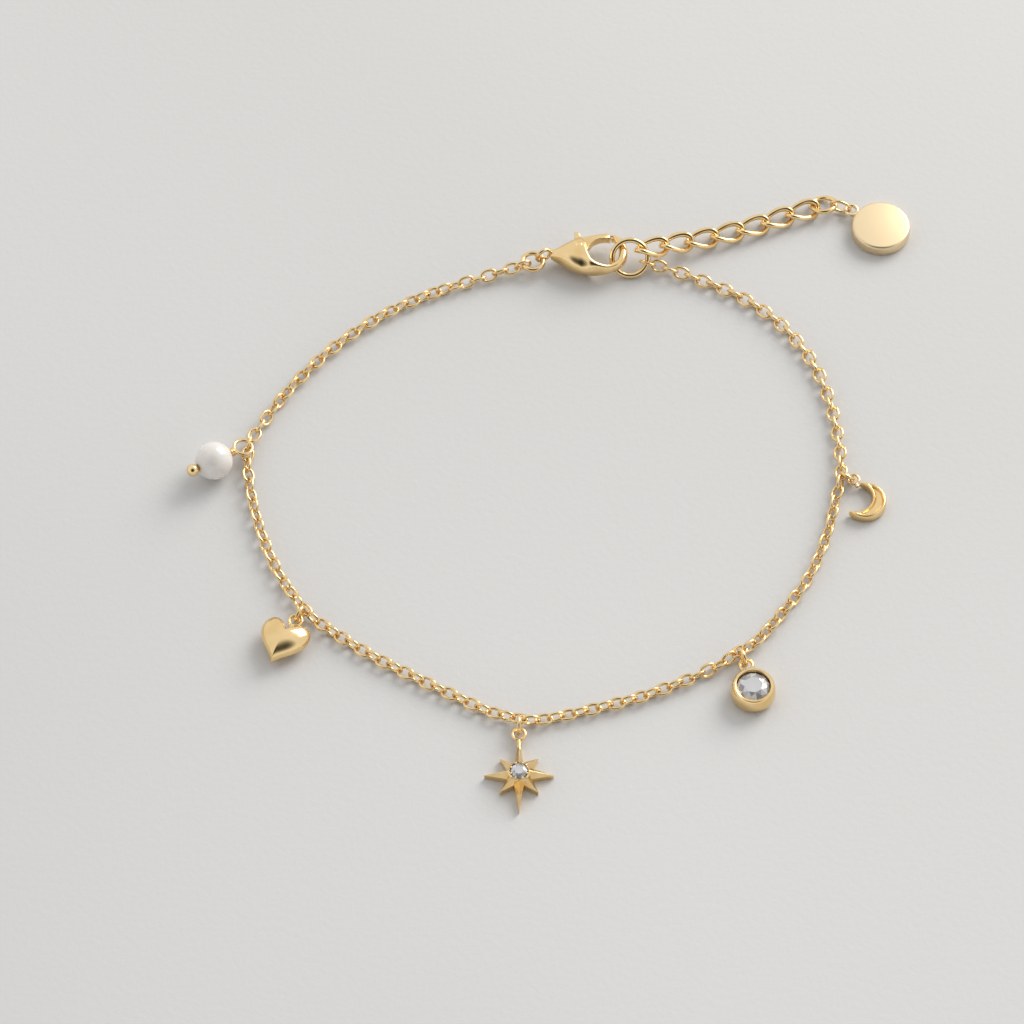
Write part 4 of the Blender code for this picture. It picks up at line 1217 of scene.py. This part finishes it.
@dataclass
class LobsterClasp:
    """The clasp: a domed body that narrows to a round claw, its eye, lever and rivet.

    Its frame has X from the eye to the nose, Y to the lever's side and its origin in the middle of
    the claw's hole. Outlines are shares of the claw's half length and half width.
    """

    length: float = 7.35 * MM
    width: float = 4.40 * MM
    thickness: float = 2.50 * MM
    nose: float = 1.05 * MM
    eye: float = 1.88 * MM
    eye_wire: float = 0.38 * MM
    eye_turn: float = math.radians(30)
    lever: float = 0.90 * MM
    lever_gap: float = 0.10 * MM
    rivet: float = 0.56 * MM
    centre: Point = (9.0939, 29.4434, 1.5411)
    along: Point = (0.99882, -0.01743, 0.04536)
    pivot: tuple[float, float] = (-1.00, 0.22)
    claw_share: float = 0.325
    roundness: float = 0.88
    tail: float = 2.2
    sides: int = 40
    fineness: int = 6
    sections: tuple[tuple[float, float, float, float], ...] = (
        (-2.20, -0.19, -2.20, 0.15), (-1.93, -0.36, -1.93, 0.26), (-1.62, -0.60, -1.64, 0.45),
        (-1.30, -0.82, -1.36, 0.64), (-1.02, -0.95, -1.12, 0.80), (-0.84, -0.99, -0.92, 0.82),
        (-0.69, -1.01, -0.76, 0.52), (-0.52, -1.02, -0.64, -0.06), (-0.33, -1.01, -0.50, -0.42),
        (-0.12, -1.00, -0.24, -0.61), (0.16, -0.98, 0.06, -0.67), (0.42, -0.90, 0.30, -0.61),
        (0.70, -0.72, 0.48, -0.47), (0.90, -0.44, 0.59, -0.27), (0.99, -0.12, 0.62, -0.05),
        (0.99, 0.20, 0.61, 0.18), (0.91, 0.50, 0.56, 0.40), (0.75, 0.76, 0.48, 0.56),
        (0.53, 0.93, 0.40, 0.70), (0.26, 1.01, 0.32, 0.75))
    arm: tuple[tuple[float, float], ...] = (
        (-1.16, 0.58), (-1.24, 1.06), (-1.15, 1.13), (-1.02, 1.08), (-0.92, 0.86), (-0.66, 0.88),
        (-0.40, 0.95), (-0.10, 1.00), (0.20, 1.01), (0.27, 0.75), (0.02, 0.75), (-0.22, 0.70),
        (-0.46, 0.56), (-0.62, 0.30), (-0.70, 0.02), (-0.84, -0.12), (-1.02, -0.13), (-1.18, -0.05),
        (-1.28, 0.12), (-1.28, 0.34))
    pocket: tuple[tuple[float, float], ...] = (
        (-1.48, -0.10), (-1.30, -0.26), (-0.90, -0.32), (-0.40, -0.30), (-0.30, 1.30), (-1.60, 1.30),
        (-1.60, 0.10))
    edge_levels: tuple[tuple[float, float], ...] = (
        (0.09, -1.0), (0.03, -0.94), (0.0, -0.80), (0.0, 0.80), (0.03, 0.94), (0.09, 1.0))

    @property
    def half_length(self) -> float:
        """Half the claw's length."""
        return self.claw_share * self.length

    def spot(self, x: float, y: float) -> Vector:
        """Turn shares of the claw's half length and half width into a point."""
        return Vector((x * self.half_length, y * self.width / 2, 0))

    def matrix(self) -> Matrix:
        """Give the clasp's frame in the part."""
        return frame_at(lay(self.centre), Vector(self.along), UP)

    def half_thickness(self, x: float) -> float:
        """Give half the thickness at a place along the clasp."""
        start, end = -0.75 * self.half_length, 0.45 * self.half_length
        t = min(max((x - start) / (end - start), 0), 1)
        t = t * t * (3 - 2 * t)
        tail = min(max((x + self.tail * self.half_length) / (0.9 * self.half_length), 0), 1)
        body = (0.34 + 0.66 * math.sin(tail * math.pi / 2)) * self.thickness
        return ((1 - t) * body + t * self.nose) / 2

    def section(self, near: Vector, far: Vector) -> list[Vector]:
        """Lay one rounded section between two edge points."""
        middle = (near + far) / 2
        across = (far - near) / 2
        rise = UP * self.half_thickness(middle.x)
        made = []
        for i in range(self.sides):
            a = 2 * math.pi * i / self.sides
            c, s = (math.copysign(abs(w) ** self.roundness, w) for w in (math.cos(a), math.sin(a)))
            made.append(middle + across * c + rise * s)
        return made

    def build(self) -> None:
        """Model the body, the lever and the rivet."""
        self.build_body()
        self.build_lever()
        self.build_rivet()

    def build_body(self) -> None:
        """Loft the body, cut the lever's slot, and add the eye."""
        near = catmull_rom([self.spot(s[0], s[1]) for s in self.sections], self.fineness)
        far = catmull_rom([self.spot(s[2], s[3]) for s in self.sections], self.fineness)
        rings = [self.section(a, b) for a, b in zip(near, far)]
        cap = [tuple(range(self.sides))]
        body = skin_rings("clasp_case", rings, (cap, cap))
        smooth(body, 50)
        high = (self.lever + 2 * self.lever_gap) / 2
        outline = [self.spot(x, y) for x, y in self.pocket]
        rings = [[p + UP * side * high for p in outline] for side in (-1, 1)]
        face = [tuple(range(len(outline)))]
        slot = skin_rings("lever_slot", rings, (face, face))
        smooth(slot, 30)
        cut(body, slot)
        self.bore(body, "rivet_bore", 0.02 * MM)
        apply_modifier(body, "BEVEL", width=0.03 * MM, segments=2, limit_method="ANGLE",
                       angle_limit=math.radians(60))
        smooth(body, 50)
        reach = self.tail * self.half_length + self.eye / 2 - 0.22 * MM
        eye = flat_ring("clasp_eye", Vector(), self.eye, self.eye_wire)
        turn = Matrix.Rotation(self.eye_turn, 4, "Z") @ Matrix.Rotation(math.pi / 2, 4, "X")
        settle(eye, Matrix.Translation((-reach, 0, 0)) @ turn)
        assemble("clasp_case", [body], [eye], self.matrix(), POLISHED, "clasp_body")

    def bore(self, piece: bpy.types.Object, name: str, play: float) -> None:
        """Bore a piece for the rivet, wider than it by the play."""
        pivot = self.spot(*self.pivot)
        top = UP * self.thickness
        cut(piece, rod(name, pivot - top, pivot + top, self.rivet + play, 32))

    def build_lever(self) -> None:
        """Extrude the lever's outline with rounded edges, and bore it."""
        corners = [self.spot(x, y) for x, y in self.arm]
        ring = catmull_rom(corners[-2:] + corners + corners[:2], 5)[10:-11]
        rings = []
        for inset, share in self.edge_levels:
            level = UP * share * self.lever / 2
            rings.append([p + level for p in self.inset(ring, inset * MM)])
        faces = tessellate(rings[0])
        lever = skin_rings("clasp_thumb_lever", rings, (faces, faces))
        smooth(lever, 50)
        self.bore(lever, "lever_bore", 0.10 * MM)
        smooth(lever, 50)
        settle(lever, self.matrix())
        hand_in(lever, POLISHED, ("clasp_lever",), Body.LEVER)

    @staticmethod
    def inset(ring: list[Vector], distance: float) -> list[Vector]:
        """Move an anticlockwise or clockwise outline inwards by a distance."""
        area = sum(a.x * b.y - b.x * a.y for a, b in zip(ring, ring[1:] + ring[:1]))
        side = 1 if area > 0 else -1
        moved = []
        for i, p in enumerate(ring):
            along = (ring[(i + 1) % len(ring)] - ring[i - 1]).normalized()
            moved.append(p + Vector((-along.y, along.x, 0)) * distance * side)
        return moved

    def build_rivet(self) -> None:
        """Model the rivet with gently domed ends."""
        half = 0.475 * self.thickness
        radius = self.rivet / 2
        dome = [(radius * math.cos(a), half - 0.05 * MM + 0.05 * MM * math.sin(a))
                for a in (math.pi / 2 * i / 6 for i in range(7))]
        profile = [(0, -half)] + [(r, -z) for r, z in reversed(dome[:-1])] + dome[:-1] + [(0, half)]
        rivet = turn_profile("clasp_pin", profile, 32)
        smooth(rivet, 50)
        settle(rivet, self.matrix() @ Matrix.Translation(self.spot(*self.pivot)))
        hand_in(rivet, POLISHED, ("clasp_rivet",))


def tessellate(outline: list[Vector]) -> list[tuple[int, ...]]:
    """Fill a flat outline with triangles that respect its hollows."""
    return [tuple(t) for t in tessellate_polygon([[Vector((p.x, p.y, 0)) for p in outline]])]


# Studio

@dataclass
class Studio:
    """Camera, floor and soft light."""

    elevation: float = math.radians(57.0)
    distance: float = 0.480
    lens: float = 175.5
    air: float = 0.92
    card: float = 0.04
    card_elevation: float = math.radians(54.0)
    card_spread: tuple[float, float] = (math.radians(16), math.radians(46))

    def build(self) -> None:
        """Place the camera, the floor and the lights."""
        self.add_camera()
        self.add_floor()
        self.add_soft_box("key_window", (0.40, 0.44, 0.37), (0.42, 0.42), 3.4, (1.0, 0.98, 0.95))
        self.add_surroundings()
        bpy.context.scene.view_settings.view_transform = "Standard"

    def add_camera(self) -> None:
        """Add the camera at the photograph's angle."""
        target = lay((0, 0, 0))
        bpy.ops.object.camera_add()
        camera = bpy.context.object
        camera.name = "photo_camera"
        aim = Vector((0, -math.cos(self.elevation), math.sin(self.elevation)))
        camera.location = target + aim * self.distance
        camera.rotation_euler = (math.pi / 2 - self.elevation, 0, 0)
        camera.data.lens = self.lens
        camera.data.sensor_width = 36.0
        camera.data.clip_start = 0.01
        camera.data.clip_end = 20.0
        bpy.context.scene.camera = camera

    def add_floor(self) -> None:
        """Add the pale floor."""
        deselect_all()
        bpy.ops.mesh.primitive_grid_add(x_subdivisions=8, y_subdivisions=8, size=3.0, location=(0, 0, 0))
        floor = take_new("pale_floor")
        floor.data.materials.append(PaleCloth("pale_cloth", "none").material())

    @staticmethod
    def add_soft_box(name: str, place: Point, size: tuple[float, float], power: float,
                     colour: Point) -> None:
        """Add a rectangular soft light that looks at the bracelet.

        Args:
            name: Name of the light.
            place: Where it stands, in metres.
            size: Its width and height.
            power: Its power in watts.
            colour: Its colour.
        """
        bpy.ops.object.light_add(type="AREA", location=place)
        light = bpy.context.object
        light.name = name
        light.data.shape = "RECTANGLE"
        light.data.size, light.data.size_y = size
        light.data.energy = power
        light.data.color = colour
        light.rotation_euler = (-Vector(place)).to_track_quat("-Z", "Y").to_euler()

    def add_surroundings(self) -> None:
        """Light the air evenly, with a dark card above the near side for the gold to mirror."""
        world = bpy.data.worlds.new("studio_air")
        world.use_nodes = True
        tree = world.node_tree
        place = tree.nodes.new("ShaderNodeTexCoord")
        towards = tree.nodes.new("ShaderNodeVectorMath")
        towards.operation = "DOT_PRODUCT"
        towards.inputs[1].default_value = (0, -math.cos(self.card_elevation), math.sin(self.card_elevation))
        tree.links.new(place.outputs["Generated"], towards.inputs[0])
        shade = tree.nodes.new("ShaderNodeMapRange")
        shade.interpolation_type = "SMOOTHSTEP"
        inner, outer = self.card_spread
        for name, value in (("From Min", math.cos(outer)), ("From Max", math.cos(inner)),
                            ("To Min", self.air), ("To Max", self.card)):
            shade.inputs[name].default_value = value
        tree.links.new(towards.outputs["Value"], shade.inputs["Value"])
        background = tree.nodes["Background"]
        background.inputs["Color"].default_value = (0.97, 0.98, 1.0, 1.0)
        tree.links.new(shade.outputs["Result"], background.inputs["Strength"])
        bpy.context.scene.world = world


def main() -> None:
    """Build the bracelet's looks and the studio."""
    logging.basicConfig(level=logging.INFO, format="%(name)s: %(message)s")
    Studio().build()
    CableChain().build()
    Rings().build()
    Extender().build()
    Tag().build()
    LobsterClasp().build()
    PearlDrop().build()
    Heart().build()
    Star().build()
    Drop().build()
    Moon().build()
    Gem("star_stone", "star_gem", 11).build()
    Gem("drop_stone", "drop_gem", 4).build()


if __name__ == "__main__":
    main()
